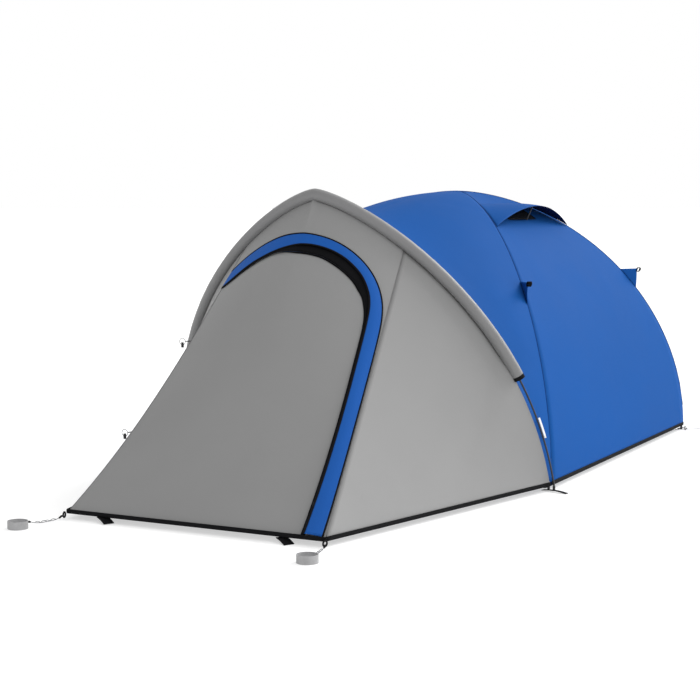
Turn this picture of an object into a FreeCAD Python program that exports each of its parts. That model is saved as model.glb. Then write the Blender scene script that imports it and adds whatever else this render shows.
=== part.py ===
import FreeCAD, Part
import math
import os
import Sketcher
from FreeCAD import Placement, Rotation, Vector

os.makedirs("parts", exist_ok=True)

# Dome tent with a pole-held porch. Millimetres, +Z up, the door faces -Y.
# The origin is on the ground under the point where the two cabin poles cross.
SIZES = {
    "half_width": 1082.0,
    "half_length": 1240.0,
    "hem_height": 30.0,
    "dome_rise": 1512.0,
    "dome_power": 1.781,
    "dome_root": 0.518,
    "arch_rise": 1487.0,
    "arch_lean": 549.0,
    "arch_half_span": 1080.0,
    "arch_power": 1.489,
    "arch_root": 0.929,
    "crown_rounding": 0.01,
    "foot_flare": 17.0,
    "porch_length": 1731.0,
    "porch_half_front": 687.0,
    "ridge_angle": 55.0,
    "porch_sag": 45.0,
    "span_sag": 70.0,
    "face_share": 0.996,
    "door_share": 0.984,
    "fabric": 3.0,
    "hem_tape_height": 18.0,
    "sleeve_outer": 31.0,
    "sleeve_inner": 28.0,
    "sleeve_end_angle": 21.0,
    "pole_radius": 4.75,
    "ferrule_outer": 6.3,
    "ferrule_inner": 5.2,
    "ferrule_length": 60.0,
    "upper_pole_depth": 10.0,
    "lower_pole_depth": 22.0,
    "inner_depth": 45.0,
    "inner_fabric": 2.0,
    "eaves": 0.50,
    "crown_reach": 0.04,
    "flap_stand": 12.0,
    "zip_width": 8.0,
    "zip_gap": 2.0,
    "ring_radius": 47.0,
    "ring_wall": 3.0,
    "ring_height_size": 36.0,
    "cord_radius": 1.6,
    "peg_radius": 2.0,
    "peg_length": 170.0,
    "peg_hook_radius": 9.0,
    "slider_width": 10.0,
    "slider_length": 22.0,
    "slider_height": 4.5,
    "toggle_radius": 7.0,
    "toggle_length": 26.0,
    "toggle_bore": 3.6,
    "hub_radius": 32.0,
    "hub_height": 28.0,
    "tip_radius": 7.0,
    "tip_height": 24.0,
    "sill_height": 150.0,
    "inner_door_half": 420.0,
    "inner_door_shoulder": 650.0,
    "inner_door_top": 1060.0,
    "vent_top": 0.27,
    "vent_brim": 0.455,
    "vent_rise": 120.0,
    "floor_thickness": 3.0,
}

doc = FreeCAD.newDocument("dome_tent")
sheet = doc.addObject("Spreadsheet::Sheet", "sizes")
for row, (alias, value) in enumerate(SIZES.items(), start=1):
    sheet.set(f"A{row}", alias)
    sheet.set(f"B{row}", str(value))
    sheet.setAlias(f"B{row}", alias)
doc.recompute()
parts = []


def size(alias):
    return float(getattr(sheet, alias))


def print_metres(name, point):
    print(name, [round(value / 1000.0, 5) for value in point])


def keep(part, label, place=None):
    part.Label = label
    if place is not None:
        part.Placement = place
    parts.append(part)
    return part


def keep_shape(label, shape):
    part = doc.addObject("Part::Feature", label)
    part.Shape = shape
    return keep(part, label, Placement())


# ---------------------------------------------------------------- form of the tent

def dome_height(reach, depth=0.0):
    """Height of the cabin roof at a share of the way from the crown to the wall's foot."""
    rest = max(1.0 - abs(reach) ** size("dome_power"), 0.0)
    return size("hem_height") + (size("dome_rise") - depth) * rest ** size("dome_root")


def dome_point(x_share, y_share, reach, depth=0.0):
    """Point of the cabin skin, pushed inwards by depth."""
    x = x_share * reach * (size("half_width") - depth)
    y = y_share * reach * (size("half_length") - depth)
    return Vector(x, y, dome_height(reach, depth))


def arch_point(angle, depth=0.0, shift=0.0):
    """Point of the porch pole's arch; angle runs from the right foot (0) to the left (180)."""
    turn = math.radians(angle)
    cosine = math.cos(turn)
    sine = max(math.sin(turn), 0.0)
    span = size("arch_half_span") - depth
    rounding = size("crown_rounding")
    bend = (size("arch_power") - 1.0) * 0.5
    x = span * cosine * ((cosine * cosine + rounding) / (1.0 + rounding)) ** bend
    x += math.copysign(size("foot_flare") * (1.0 - sine) ** 4, cosine)
    share = sine ** size("arch_root")
    y = -size("half_length") - size("arch_lean") * share + shift
    z = size("hem_height") + (size("arch_rise") - depth) * share
    return Vector(x, y, z)


def smooth(value, low, high):
    share = min(max((value - low) / (high - low), 0.0), 1.0)
    return share * share * (3.0 - 2.0 * share)


def seam_point(angle, way):
    """Edge of a panel sewn to the sleeve; way is +1 on the cabin's side and -1 on the porch's."""
    folded = min(angle, 180.0 - angle)
    start = size("sleeve_end_angle") - 9.0
    shift = 0.6 + 25.0 * smooth(folded, start, start + 10.0)
    return arch_point(angle, 14.0, way * shift)


def sag_amount(down):
    return size("porch_sag") * 4.0 * down * (1.0 - down) * (0.6 + 0.8 * down)


def front_point(across, down, depth=0.0):
    """Porch front: across -1 to 1 between the ridges, down 0 at the arch to 1 at the hem."""
    top = seam_point(90.0 - across * (90.0 - size("ridge_angle")), -1)
    front = -size("half_length") - size("porch_length")
    hem = Vector(across * size("porch_half_front"), front, size("hem_height"))
    inward = Vector(-0.45 * across, 0.62, -0.65)
    inward.normalize()
    return top * (1.0 - down) + hem * down + inward * (sag_amount(down) + depth)


def side_point(along, down, depth=0.0):
    """Right porch side: along 0 at the ridge to 1 at the arch's foot."""
    angle = size("ridge_angle") + (0.8 - size("ridge_angle")) * along
    top = seam_point(angle, -1)
    front = -size("half_length") - size("porch_length")
    corner = Vector(size("porch_half_front"), front, size("hem_height"))
    foot = Vector(size("half_width") + 2.0, -size("half_length") - 14.0, size("hem_height"))
    hem = corner + (foot - corner) * along
    ridge = Vector(-0.45, 0.62, -0.65)
    wall = Vector(-0.86, 0.34, -0.38)
    inward = ridge * (1.0 - along) + wall * along
    inward.normalize()
    sag = sag_amount(down) * (1.0 - along)
    return top * (1.0 - down) + hem * down + inward * (sag + depth)


def mirrored(point):
    return Vector(-point.x, point.y, point.z)


# ---------------------------------------------------------------- makers

def spread(low, high, count):
    return [low + (high - low) * index / (count - 1) for index in range(count)]


def sheet_solid(outer, inner):
    """Closed thin solid between two grids of points."""
    surfaces = []
    for grid in (outer, inner):
        surface = Part.BSplineSurface()
        surface.interpolate(grid)
        surfaces.append(surface)
    faces = [surface.toShape() for surface in surfaces]
    low_u, high_u, low_v, high_v = surfaces[0].bounds()
    for value in (low_u, high_u):
        rims = [surface.uIso(value).toShape() for surface in surfaces]
        faces.append(Part.makeRuledSurface(rims[0], rims[1]))
    for value in (low_v, high_v):
        rims = [surface.vIso(value).toShape() for surface in surfaces]
        faces.append(Part.makeRuledSurface(rims[0], rims[1]))
    shell = Part.makeShell(faces)
    shell.sewShape()
    solid = Part.makeSolid(Part.Shell(shell.Faces))
    if solid.Volume < 0:
        solid.reverse()
    return solid


def panel(point_at, us, vs, depth_out, depth_in, flip=False):
    """Thin solid of a skin given by point_at(u, v, depth)."""
    grids = []
    for depth in (depth_out, depth_in):
        grid = [[point_at(u, v, depth) for v in vs] for u in us]
        if flip:
            grid = [[mirrored(point) for point in line] for line in grid]
        grids.append(grid)
    return sheet_solid(grids[0], grids[1])


def side_wall(x_share):
    return lambda reach, across, depth: dome_point(x_share, across, reach, depth)


def end_wall(y_share):
    return lambda reach, across, depth: dome_point(across, y_share, reach, depth)


def reach_stations(low, high, count):
    """Stations that crowd towards the foot of the wall, where the roof bends down."""
    first = math.asin(low)
    last = math.asin(high)
    return [math.sin(value) for value in spread(first, last, count)]


def arc_or_line(start, heading, end):
    """Arc from start to end that leaves along heading."""
    chord = end - start
    along = Vector(chord)
    along.normalize()
    aside = heading - along * heading.dot(along)
    if aside.Length < 1e-6:
        return Part.LineSegment(start, end).toShape()
    bend = math.atan2(aside.Length, heading.dot(along))
    aside.normalize()
    middle = start + chord * 0.5 + aside * (chord.Length * 0.5 * math.tan(bend * 0.5))
    return Part.Arc(start, middle, end).toShape()


def two_arcs(start, heading, end, arriving):
    """Pair of tangent arcs between two points with given headings."""
    gap = end - start
    both = heading + arriving
    square = 2.0 * (1.0 - heading.dot(arriving))
    linear = gap.dot(both)
    if square < 1e-9:
        reach = gap.Length ** 2 / (2.0 * linear)
    else:
        root = math.sqrt(linear ** 2 + square * gap.Length ** 2)
        reach = (root - linear) / square
    joint = (start + heading * reach + end - arriving * reach) * 0.5
    back = arc_or_line(end, arriving * -1.0, joint)
    return [arc_or_line(start, heading, joint), back]


def bent_path(point_at, stations):
    """Tangent arcs along a bent pole, two arcs for each gap between stations."""
    points = [point_at(value) for value in stations]
    headings = []
    for value in stations:
        nudge = (stations[1] - stations[0]) * 0.004
        low = max(value - nudge, stations[0])
        high = min(value + nudge, stations[-1])
        heading = point_at(high) - point_at(low)
        heading.normalize()
        headings.append(heading)
    spans = []
    for index in range(len(points) - 1):
        spans.append(two_arcs(points[index], headings[index], points[index + 1], headings[index + 1]))
    return points, headings, spans


def tube_along(edges, start, heading, radius):
    """Round bar swept along a chain of tangent edges."""
    path = Part.Wire(Part.__sortEdges__(edges))
    ring = Part.Wire(Part.makeCircle(radius, start, heading))
    return path.makePipeShell([ring], True, True)


def round_bar(start, end, radius):
    axis = end - start
    return Part.makeCylinder(radius, axis.Length, start, axis)


def cord_path(points):
    """Straight runs joined by tangent arcs as large as the runs allow; returns edges and radii."""
    edges = []
    radii = []
    last = points[0]
    for index in range(1, len(points) - 1):
        corner = points[index]
        back = points[index - 1] - corner
        ahead = points[index + 1] - corner
        shorter = min(back.Length, ahead.Length)
        back.normalize()
        ahead.normalize()
        turn = math.pi - math.acos(max(min(back.dot(ahead), 1.0), -1.0))
        trim = 0.45 * shorter
        radius = trim / math.tan(turn * 0.5)
        radii.append(radius)
        start = corner + back * trim
        end = corner + ahead * trim
        inward = back + ahead
        inward.normalize()
        middle = corner + inward * (radius / math.cos(turn * 0.5) - radius)
        edges.append(Part.LineSegment(last, start).toShape())
        edges.append(Part.Arc(start, middle, end).toShape())
        last = end
    edges.append(Part.LineSegment(last, points[-1]).toShape())
    return edges, radii


def prism(points_and_arcs, low_y, high_y):
    """Prism along Y of an outline drawn on the front view; an entry of three values is an arc's middle."""
    edges = []
    middle = None
    last = None
    for entry in points_and_arcs + [points_and_arcs[0]]:
        here = Vector(entry[0], low_y, entry[1])
        if len(entry) == 3:
            middle = here
            continue
        if last is not None and middle is not None:
            edges.append(Part.Arc(last, middle, here).toShape())
        elif last is not None:
            edges.append(Part.LineSegment(last, here).toShape())
        last = here
        middle = None
    return Part.Face(Part.Wire(edges)).extrude(Vector(0, high_y - low_y, 0))


def group(solids):
    return Part.makeCompound(solids)


def both_sides(solids):
    """The given solids with their mirror images across the tent's centre plane."""
    turned = [solid.mirror(Vector(0, 0, 0), Vector(1, 0, 0)) for solid in solids]
    return group(solids + turned)


# ---------------------------------------------------------------- outer cabin skin

ACROSS = spread(-1.0, 1.0, 5)


def make_cabin_skin():
    thickness = size("fabric")
    reaches = reach_stations(size("crown_reach"), 1.0, 15)
    for label, x_share in (("fly_side_right", 1), ("fly_side_left", -1)):
        skin = panel(side_wall(x_share), reaches, ACROSS, 0.0, thickness)
        low = x_share * size("half_width") * (size("vent_top") + 0.05)
        high = x_share * size("half_width") * (size("vent_brim") - 0.05)
        window = Part.makeBox(abs(high - low), 420.0, 400.0, Vector(min(low, high), -210.0, 1200.0))
        keep_shape(label, skin.cut(window))
        mesh = panel(side_wall(x_share), reaches, ACROSS, 0.8, 2.2).common(window)
        keep_shape(label.replace("fly_side", "vent_mesh"), mesh)
    keep_shape("fly_rear", panel(end_wall(1), reaches, ACROSS, 0.0, thickness))


def span_point(x_share):
    """Blue roof between the cabin poles' front halves and the porch arch."""
    def at(along, forward, depth):
        reach = math.sin(math.radians(90.0 * along))
        pole = dome_point(x_share, -1, reach, depth)
        angle = 90.0 - 89.2 * along
        edge = arch_point(angle, 14.0 + depth, 0.6 + 25.0 * smooth(angle, 12.0, 22.0))
        if x_share < 0:
            edge = mirrored(edge)
        dip = size("span_sag") * 4.0 * forward * (1.0 - forward) * math.cos(math.radians(90.0 * along))
        return pole * (1.0 - forward) + edge * forward - Vector(0, 0, dip)
    return at


def make_front_span():
    alongs = spread(0.0, 1.0, 16)
    for label, x_share in (("fly_front_right", 1), ("fly_front_left", -1)):
        skin = panel(span_point(x_share), alongs, spread(0.0, 1.0, 5), 0.0, size("fabric"))
        keep_shape(label, skin)


def make_crown_patch():
    """Reinforcing patch over the pole crossing, sewn on top of the skin."""
    half_x = size("half_width") * size("crown_reach") * 1.5
    half_y = size("half_length") * size("crown_reach") * 1.5
    patch = doc.addObject("Part::Box", "fly_crown_patch")
    patch.setExpression("Length", "sizes.half_width * sizes.crown_reach * 3")
    patch.setExpression("Width", "sizes.half_length * sizes.crown_reach * 3")
    patch.setExpression("Height", "sizes.fabric")
    top = dome_height(0.0) + 0.2
    keep(patch, "fly_crown_patch", Placement(Vector(-half_x, -half_y, top), Rotation()))


# ---------------------------------------------------------------- porch

DOOR_FOOT_X = 578.0
FLAP_WIDTH = 68.0
ZIP_START_X = -430.0
FLAP_START_X = -400.0
# Front view of what the leaf leaves free beside its hinge's head, so that it swings clear of the frame.
HINGE_HEAD_ROOM = [(-800, 735), (-400, 1078), (-400, 1500), (-800, 1500)]


def door_outline(grow):
    """Front view of the door's free edge; grow moves it outwards."""
    return [
        (-800, -30),
        (-800, 817 + grow * 1.2),
        (-278 - grow * 0.4, 1158 + grow),
        (-100 - grow * 0.2, 1226 + grow, "arc"),
        (88 + grow * 0.3, 1222 + grow),
        (270 + grow * 0.7, 1132 + grow * 0.8, "arc"),
        (388 + grow, 1004 + grow * 0.4),
        (427 + grow, 905 + grow * 0.2),
        (DOOR_FOOT_X + grow, -30),
    ]


def flap_outline(grow):
    """Front view of the rain flap's inner edge; grow moves it outwards, to a width that tapers to the left."""
    return [
        (-800, -30),
        (-800, 818 + grow * 0.75),
        (-278 - grow * 0.32, 1174 + grow * 0.94),
        (-100 - grow * 0.2, 1249 + grow * 0.9, "arc"),
        (79 + grow * 0.2, 1259 + grow * 0.78),
        (270 + grow * 0.5, 1177 + grow * 0.55, "arc"),
        (413 + grow * 0.8, 1005 + grow * 0.2),
        (433 + grow, 920 + grow * 0.2),
        (584 + grow * 1.5, -30),
    ]


def face_layer(depth_out, depth_in, left_name="face_share"):
    """Layer of the porch front; left_name is the size that says how near it comes to the left ridge."""
    acrosses = spread(-size(left_name), size("face_share"), 17)
    return panel(front_point, acrosses, spread(0.0, 1.0, 9), depth_out, depth_in)


def make_porch():
    near = -size("half_length") - size("porch_length") - 300.0
    far = -size("half_length")
    thickness = size("fabric")
    gap = size("zip_gap")
    width = size("zip_width")
    door_cut = prism(door_outline(0.0), near, far)
    frame_cut = prism(door_outline(gap), near, far)
    face = face_layer(0.0, thickness)
    leaf = face_layer(0.0, thickness, "door_share")
    keep_shape("front_door", leaf.common(door_cut).cut(prism(HINGE_HEAD_ROOM, near, far)))
    print_metres("door hinge foot", front_point(-1.0, 1.0))
    print_metres("door hinge head", front_point(-1.0, 0.26))
    keep_shape("porch_front", face.cut(frame_cut))
    trim_top = size("hem_height") + size("hem_tape_height") + 3.0
    below_trim = Part.makeBox(2000.0, 400.0, trim_top, Vector(-1000.0, near, 0))
    beside_hinge = Part.makeBox(1000.0, 2400.0, 2000.0, Vector(-1000.0 + ZIP_START_X, near, 0))
    tape = face_layer(-2.2, -0.2).cut(below_trim).cut(beside_hinge)
    keep_shape("door_zip_tape", tape.common(door_cut).cut(prism(door_outline(-width), near, far)))
    wide = prism(door_outline(gap + width), near, far)
    keep_shape("frame_zip_tape", tape.cut(frame_cut).common(wide))
    stand = size("flap_stand")
    outer = prism(flap_outline(FLAP_WIDTH), near, far)
    inner = prism(flap_outline(0.0), near, far)
    rim = prism(flap_outline(FLAP_WIDTH - 6.0), near, far)
    cover = face_layer(-stand - 2.5, -stand).common(outer).cut(inner)
    foot = face_layer(-stand - 1.0, -0.2).common(outer).cut(rim)
    beyond_flap = Part.makeBox(1000.0, 2400.0, 2000.0, Vector(-1000.0 + FLAP_START_X, near, 0))
    keep_shape("door_rain_flap", cover.fuse(foot).cut(below_trim).cut(beyond_flap))
    alongs = spread(0.0, 1.0, 7)
    downs = spread(0.0, 1.0, 9)
    for label, flip in (("porch_side_right", False), ("porch_side_left", True)):
        keep_shape(label, panel(side_point, alongs, downs, 0.0, thickness, flip))


def tape_strip(start, end, low, high, thickness, outward):
    """Upright webbing strip between two plan points."""
    run = Vector(end.x - start.x, end.y - start.y, 0)
    run.normalize()
    out = Vector(run.y, -run.x, 0) * outward
    foot = [Vector(start.x, start.y, low), Vector(end.x, end.y, low)]
    ring = [foot[0], foot[1], foot[1] + out * thickness, foot[0] + out * thickness]
    face = Part.Face(Part.makePolygon(ring + [ring[0]]))
    return face.extrude(Vector(0, 0, high - low))


def make_hem_tapes():
    """Black webbing that binds the skin's lower edge, just outside it."""
    low = size("hem_height") - 3.0
    high = size("hem_height") + size("hem_tape_height")
    front = -size("half_length") - size("porch_length")
    half = size("porch_half_front")
    wide = size("half_width")
    long = size("half_length")
    split = DOOR_FOOT_X + size("zip_gap")
    door = tape_strip(Vector(-half + 14, front - 0.3, 0), Vector(split - 6, front - 0.3, 0), low, high, 2.0, 1)
    keep_shape("door_hem_tape", door)
    jamb = tape_strip(Vector(split + 3, front - 0.3, 0), Vector(half, front - 0.3, 0), low, high, 2.0, 1)
    right = tape_strip(Vector(half + 1.5, front, 0), Vector(wide + 3, -long - 16, 0), low, high, 2.0, 1)
    left = tape_strip(Vector(-half - 1.5, front, 0), Vector(-wide - 3, -long - 16, 0), low, high, 2.0, -1)
    keep_shape("porch_hem_tape", group([jamb, right, left]))
    east = tape_strip(Vector(wide + 0.3, -long + 30, 0), Vector(wide + 0.3, long, 0), low, high, 2.0, 1)
    west = tape_strip(Vector(-wide - 0.3, -long + 30, 0), Vector(-wide - 0.3, long, 0), low, high, 2.0, -1)
    north = tape_strip(Vector(-wide, long + 0.3, 0), Vector(wide, long + 0.3, 0), low, high, 2.0, -1)
    keep_shape("cabin_hem_tape", group([east, west, north]))


# ---------------------------------------------------------------- poles

def pole_sections(path, per_section):
    points, headings, spans = path
    solids = []
    for first in range(0, len(spans), per_section):
        edges = [edge for span in spans[first:first + per_section] for edge in span]
        solids.append(tube_along(edges, points[first], headings[first], size("pole_radius")))
    return solids


def pole_ferrules(path, per_section):
    points, headings, spans = path
    length = size("ferrule_length")
    solids = []
    for index in range(per_section, len(spans), per_section):
        start = points[index] - headings[index] * (length * 0.5)
        outside = Part.makeCylinder(size("ferrule_outer"), length, start, headings[index])
        bore = Part.makeCylinder(size("ferrule_inner"), length, start, headings[index])
        solids.append(outside.cut(bore))
    return solids


def foot_tips(points):
    """Turned plastic tips that close the poles' lower ends and stand on the ground."""
    solids = []
    for point in points:
        base = Vector(point.x, point.y, 0)
        solids.append(Part.makeCylinder(size("tip_radius"), size("tip_height"), base))
    return solids


def make_cabin_poles():
    angles = spread(-90.0, 90.0, 19)
    feet = []
    choices = (("cabin_pole_upper", 1, "upper_pole_depth"), ("cabin_pole_lower", -1, "lower_pole_depth"))
    for label, hand, depth_name in choices:
        depth = size(depth_name)

        def at(angle):
            reach = math.sin(math.radians(angle))
            sign = math.copysign(1.0, reach)
            return dome_point(sign, sign * hand, abs(reach), depth)

        path = bent_path(at, angles)
        sections = pole_sections(path, 2)
        for end in (path[0][0], path[0][-1]):
            low = Vector(end.x, end.y, size("tip_height"))
            sections.append(round_bar(low, end, size("pole_radius")))
            feet.append(end)
        keep_shape(label, group(sections))
        keep_shape(label + "_ferrules", group(pole_ferrules(path, 2)))
    keep_shape("cabin_pole_tips", group(foot_tips(feet)))


def make_porch_pole():
    angles = spread(0.0, 180.0, 15)
    path = bent_path(arch_point, angles)
    sections = pole_sections(path, 2)
    feet = [path[0][0], path[0][-1]]
    for end in feet:
        low = Vector(end.x, end.y, size("tip_height"))
        sections.append(round_bar(low, end, size("pole_radius")))
    keep_shape("porch_pole", group(sections))
    keep_shape("porch_pole_ferrules", group(pole_ferrules(path, 2)))
    keep_shape("porch_pole_tips", group(foot_tips(feet)))


def sleeve_tube(low, high, outer, inner):
    count = max(int(round((high - low) / 12.0)), 2) + 1
    points, headings, spans = bent_path(arch_point, spread(low, high, count))
    edges = [edge for span in spans for edge in span]
    hull = tube_along(edges, points[0], headings[0], outer)
    return hull.cut(tube_along(edges, points[0], headings[0], inner))


def make_sleeve():
    end = size("sleeve_end_angle")
    outer = size("sleeve_outer")
    inner = size("sleeve_inner")
    keep_shape("porch_pole_sleeve", sleeve_tube(end, 180.0 - end, outer, inner))
    trim = sleeve_tube(end - 1.4, end, outer, inner)
    keep_shape("sleeve_end_trims", both_sides([trim]))


def make_crown_hub():
    """Disc that the two cabin poles pass through where they cross."""
    disc = doc.addObject("Part::Cylinder", "hub_disc")
    disc.setExpression("Radius", "sizes.hub_radius")
    disc.setExpression("Height", "sizes.hub_height")
    top = size("hem_height") + size("dome_rise") - 9.0
    disc.Placement = Placement(Vector(0, 0, top - size("hub_height")), Rotation())
    heading = math.degrees(math.atan2(size("half_length"), size("half_width")))
    body = disc
    crossings = ((1, "upper_pole_depth"), (-1, "lower_pole_depth"))
    for hand, depth_name in crossings:
        bore = doc.addObject("Part::Cylinder", "hub_bore_" + depth_name)
        bore.setExpression("Radius", "sizes.pole_radius + 1.0")
        bore.setExpression("Height", "sizes.hub_radius * 4")
        level = size("hem_height") + size("dome_rise") - size(depth_name)
        turn = Rotation(Vector(0, 0, 1), hand * heading)
        along = turn.multVec(Vector(1, 0, 0))
        start = along * (-2.0 * size("hub_radius")) + Vector(0, 0, level)
        bore.Placement = Placement(start, Rotation(Vector(0, 0, 1), along))
        cut = doc.addObject("Part::Cut", "hub_cut_" + depth_name)
        cut.Base = body
        cut.Tool = bore
        body = cut
    keep(body, "crown_hub")


# ---------------------------------------------------------------- inner cabin

def make_inner_cabin():
    outer = size("inner_depth")
    inner = outer + size("inner_fabric")
    walls = reach_stations(size("eaves"), 1.0, 9)
    roof = reach_stations(size("crown_reach"), size("eaves"), 7)
    keep_shape("inner_wall_right", panel(side_wall(1), walls, ACROSS, outer, inner))
    keep_shape("inner_wall_left", panel(side_wall(-1), walls, ACROSS, outer, inner))
    keep_shape("inner_wall_rear", panel(end_wall(1), walls, ACROSS, outer, inner))
    front = panel(end_wall(-1), walls, ACROSS, outer, inner)
    sill = size("sill_height")
    half = size("inner_door_half")
    shoulder = size("inner_door_shoulder")
    top = size("inner_door_top")

    def opening(grow):
        outline = [
            (-half - grow, sill - grow),
            (-half - grow, shoulder),
            (0, top + grow, "arc"),
            (half + grow, shoulder),
            (half + grow, sill - grow),
        ]
        return prism(outline, -size("half_length"), 0)

    keep_shape("inner_wall_front", front.cut(opening(0.0)))
    keep_shape("inner_door", front.common(opening(-2.0)))
    tape = panel(end_wall(-1), walls, ACROSS, outer - 2.4, outer - 0.4)
    rim = tape.common(opening(9.0)).cut(opening(0.5))
    floor_cut = Part.makeBox(2400, 1300, 60, Vector(-1200, -1300, sill - 50))
    keep_shape("inner_door_zip", rim.cut(floor_cut))
    quarters = [
        panel(side_wall(1), roof, ACROSS, outer, inner),
        panel(side_wall(-1), roof, ACROSS, outer, inner),
        panel(end_wall(1), roof, ACROSS, outer, inner),
        panel(end_wall(-1), roof, ACROSS, outer, inner),
    ]
    keep_shape("inner_roof_mesh", group(quarters))


def make_floor():
    """Groundsheet tray: a flat base with a low rim that carries the inner walls."""
    outer_x = size("half_width") - size("inner_depth")
    outer_y = size("half_length") - size("inner_depth")
    body = doc.addObject("PartDesign::Body", "groundsheet")
    plane = [item for item in body.Origin.OriginFeatures if item.Role == "XY_Plane"][0]
    sketch = body.newObject("Sketcher::SketchObject", "floor_outline")
    sketch.AttachmentSupport = (plane, [""])
    sketch.MapMode = "FlatFace"
    add_rectangle(sketch, outer_x, outer_y, "half_width", "half_length")
    pad = body.newObject("PartDesign::Pad", "floor_pad")
    pad.Profile = sketch
    pad.setExpression("Length", "sizes.hem_height")
    doc.recompute()
    full = body.Shape.Volume
    cavity = body.newObject("Sketcher::SketchObject", "floor_cavity")
    cavity.AttachmentSupport = (plane, [""])
    cavity.MapMode = "FlatFace"
    cavity.AttachmentOffset = Placement(Vector(0, 0, size("floor_thickness")), Rotation())
    rim = size("inner_fabric")
    add_rectangle(cavity, outer_x - rim, outer_y - rim, "half_width", "half_length", "sizes.inner_fabric")
    pocket = body.newObject("PartDesign::Pocket", "floor_pocket")
    pocket.Profile = cavity
    pocket.Reversed = True
    pocket.setExpression("Length", "sizes.hem_height")
    doc.recompute()
    if body.Shape.Volume > 0.5 * full:
        raise RuntimeError("the groundsheet's pocket cut nothing")
    keep(body, "groundsheet")


def add_rectangle(sketch, half_x, half_y, x_alias, y_alias, less="0"):
    """Rectangle centred on the sketch's origin, its sides bound to the sheet."""
    corners = [Vector(-half_x, -half_y, 0), Vector(half_x, -half_y, 0)]
    corners += [Vector(half_x, half_y, 0), Vector(-half_x, half_y, 0)]
    for index in range(4):
        sketch.addGeometry(Part.LineSegment(corners[index], corners[(index + 1) % 4]), False)
    for index in range(4):
        sketch.addConstraint(Sketcher.Constraint("Coincident", index, 2, (index + 1) % 4, 1))
    for index in (0, 2):
        sketch.addConstraint(Sketcher.Constraint("Horizontal", index))
    for index in (1, 3):
        sketch.addConstraint(Sketcher.Constraint("Vertical", index))
    sketch.addConstraint(Sketcher.Constraint("Symmetric", 0, 1, 2, 1, -1, 1))
    wide = sketch.addConstraint(Sketcher.Constraint("DistanceX", 0, 1, 0, 2, 2 * half_x))
    deep = sketch.addConstraint(Sketcher.Constraint("DistanceY", 1, 1, 1, 2, 2 * half_y))
    sketch.renameConstraint(wide, "width")
    sketch.renameConstraint(deep, "depth")
    sketch.setExpression("Constraints.width", f"2 * (sizes.{x_alias} - sizes.inner_depth - {less})")
    sketch.setExpression("Constraints.depth", f"2 * (sizes.{y_alias} - sizes.inner_depth - {less})")


HOOK_ANGLES = (20.0, 40.0, 60.0, 66.0, 78.0)


def make_inner_hooks():
    """Plastic hooks that hang the inner cabin from the cabin poles."""
    solids = []
    for hand, depth_name in ((1, "upper_pole_depth"), (-1, "lower_pole_depth")):
        depth = size(depth_name)
        for angle in HOOK_ANGLES:
            reach = math.sin(math.radians(angle))
            ahead = math.sin(math.radians(angle + 0.5))
            for way in (1, -1):
                centre = dome_point(way, way * hand, reach, depth)
                heading = dome_point(way, way * hand, ahead, depth) - centre
                hang = dome_point(way, way * hand, reach, size("inner_depth")) - centre
                ring = Part.makeTorus(size("pole_radius") + 1.1, 1.0, centre, heading)
                hang_way = Vector(hang)
                hang_way.normalize()
                start = centre + hang_way * (size("pole_radius") + 1.1)
                link = Part.makeCylinder(1.8, hang.Length - size("pole_radius") - 2.2, start, hang_way)
                solids.append(ring.fuse(link))
    keep_shape("inner_hooks", group(solids))


# ---------------------------------------------------------------- vents

def hood_point(x_share):
    def at(out, across, depth):
        reach = size("vent_top") + (size("vent_brim") - size("vent_top")) * out
        foot = dome_point(x_share, across, reach, -1.0)
        normal = Vector(0.30 * x_share, 0, 0.954)
        bulge = size("vent_rise") * (1.0 - across * across) * out
        return foot + normal * (bulge - depth)
    return at


def make_vents():
    outs = spread(0.0, 1.0, 5)
    across = spread(-0.96, 0.96, 9)
    for side, x_share in (("right", 1), ("left", -1)):
        hood = panel(hood_point(x_share), outs, across, -2.5, 0.0)
        keep_shape("vent_hood_" + side, hood)
        base = dome_point(x_share, 0, size("vent_brim") - 0.035, -5.0)
        head = hood_point(x_share)(0.86, 0.0, 2.5)
        strut = round_bar(base, head, 4.0)
        keep_shape("vent_prop_" + side, strut)


# ---------------------------------------------------------------- trims outside

def make_guy_tabs():
    """Triangular guy-out tabs on the four cabin pole seams, each with a small loop."""
    tabs = []
    loops = []
    for x_share, y_share in ((1, -1), (1, 1), (-1, -1), (-1, 1)):
        out = Vector(0.66 * x_share, 0.66 * y_share, 0.36)
        out.normalize()
        top = dome_point(x_share, y_share, 0.69, -0.4)
        low = dome_point(x_share, y_share, 0.77, -0.4)
        tip = Vector(low.x, low.y, top.z) + out * 15.0
        side = (low - top).cross(out)
        side.normalize()
        ring = [top - side, low - side, tip - side, top - side]
        tabs.append(Part.Face(Part.makePolygon(ring)).extrude(side * 2.0))
        loops.append(Part.makeTorus(9.0, 1.6, tip + out * 10.0, side))
    keep_shape("guy_out_tabs", group(tabs))
    keep_shape("guy_out_loops", group(loops))


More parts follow.
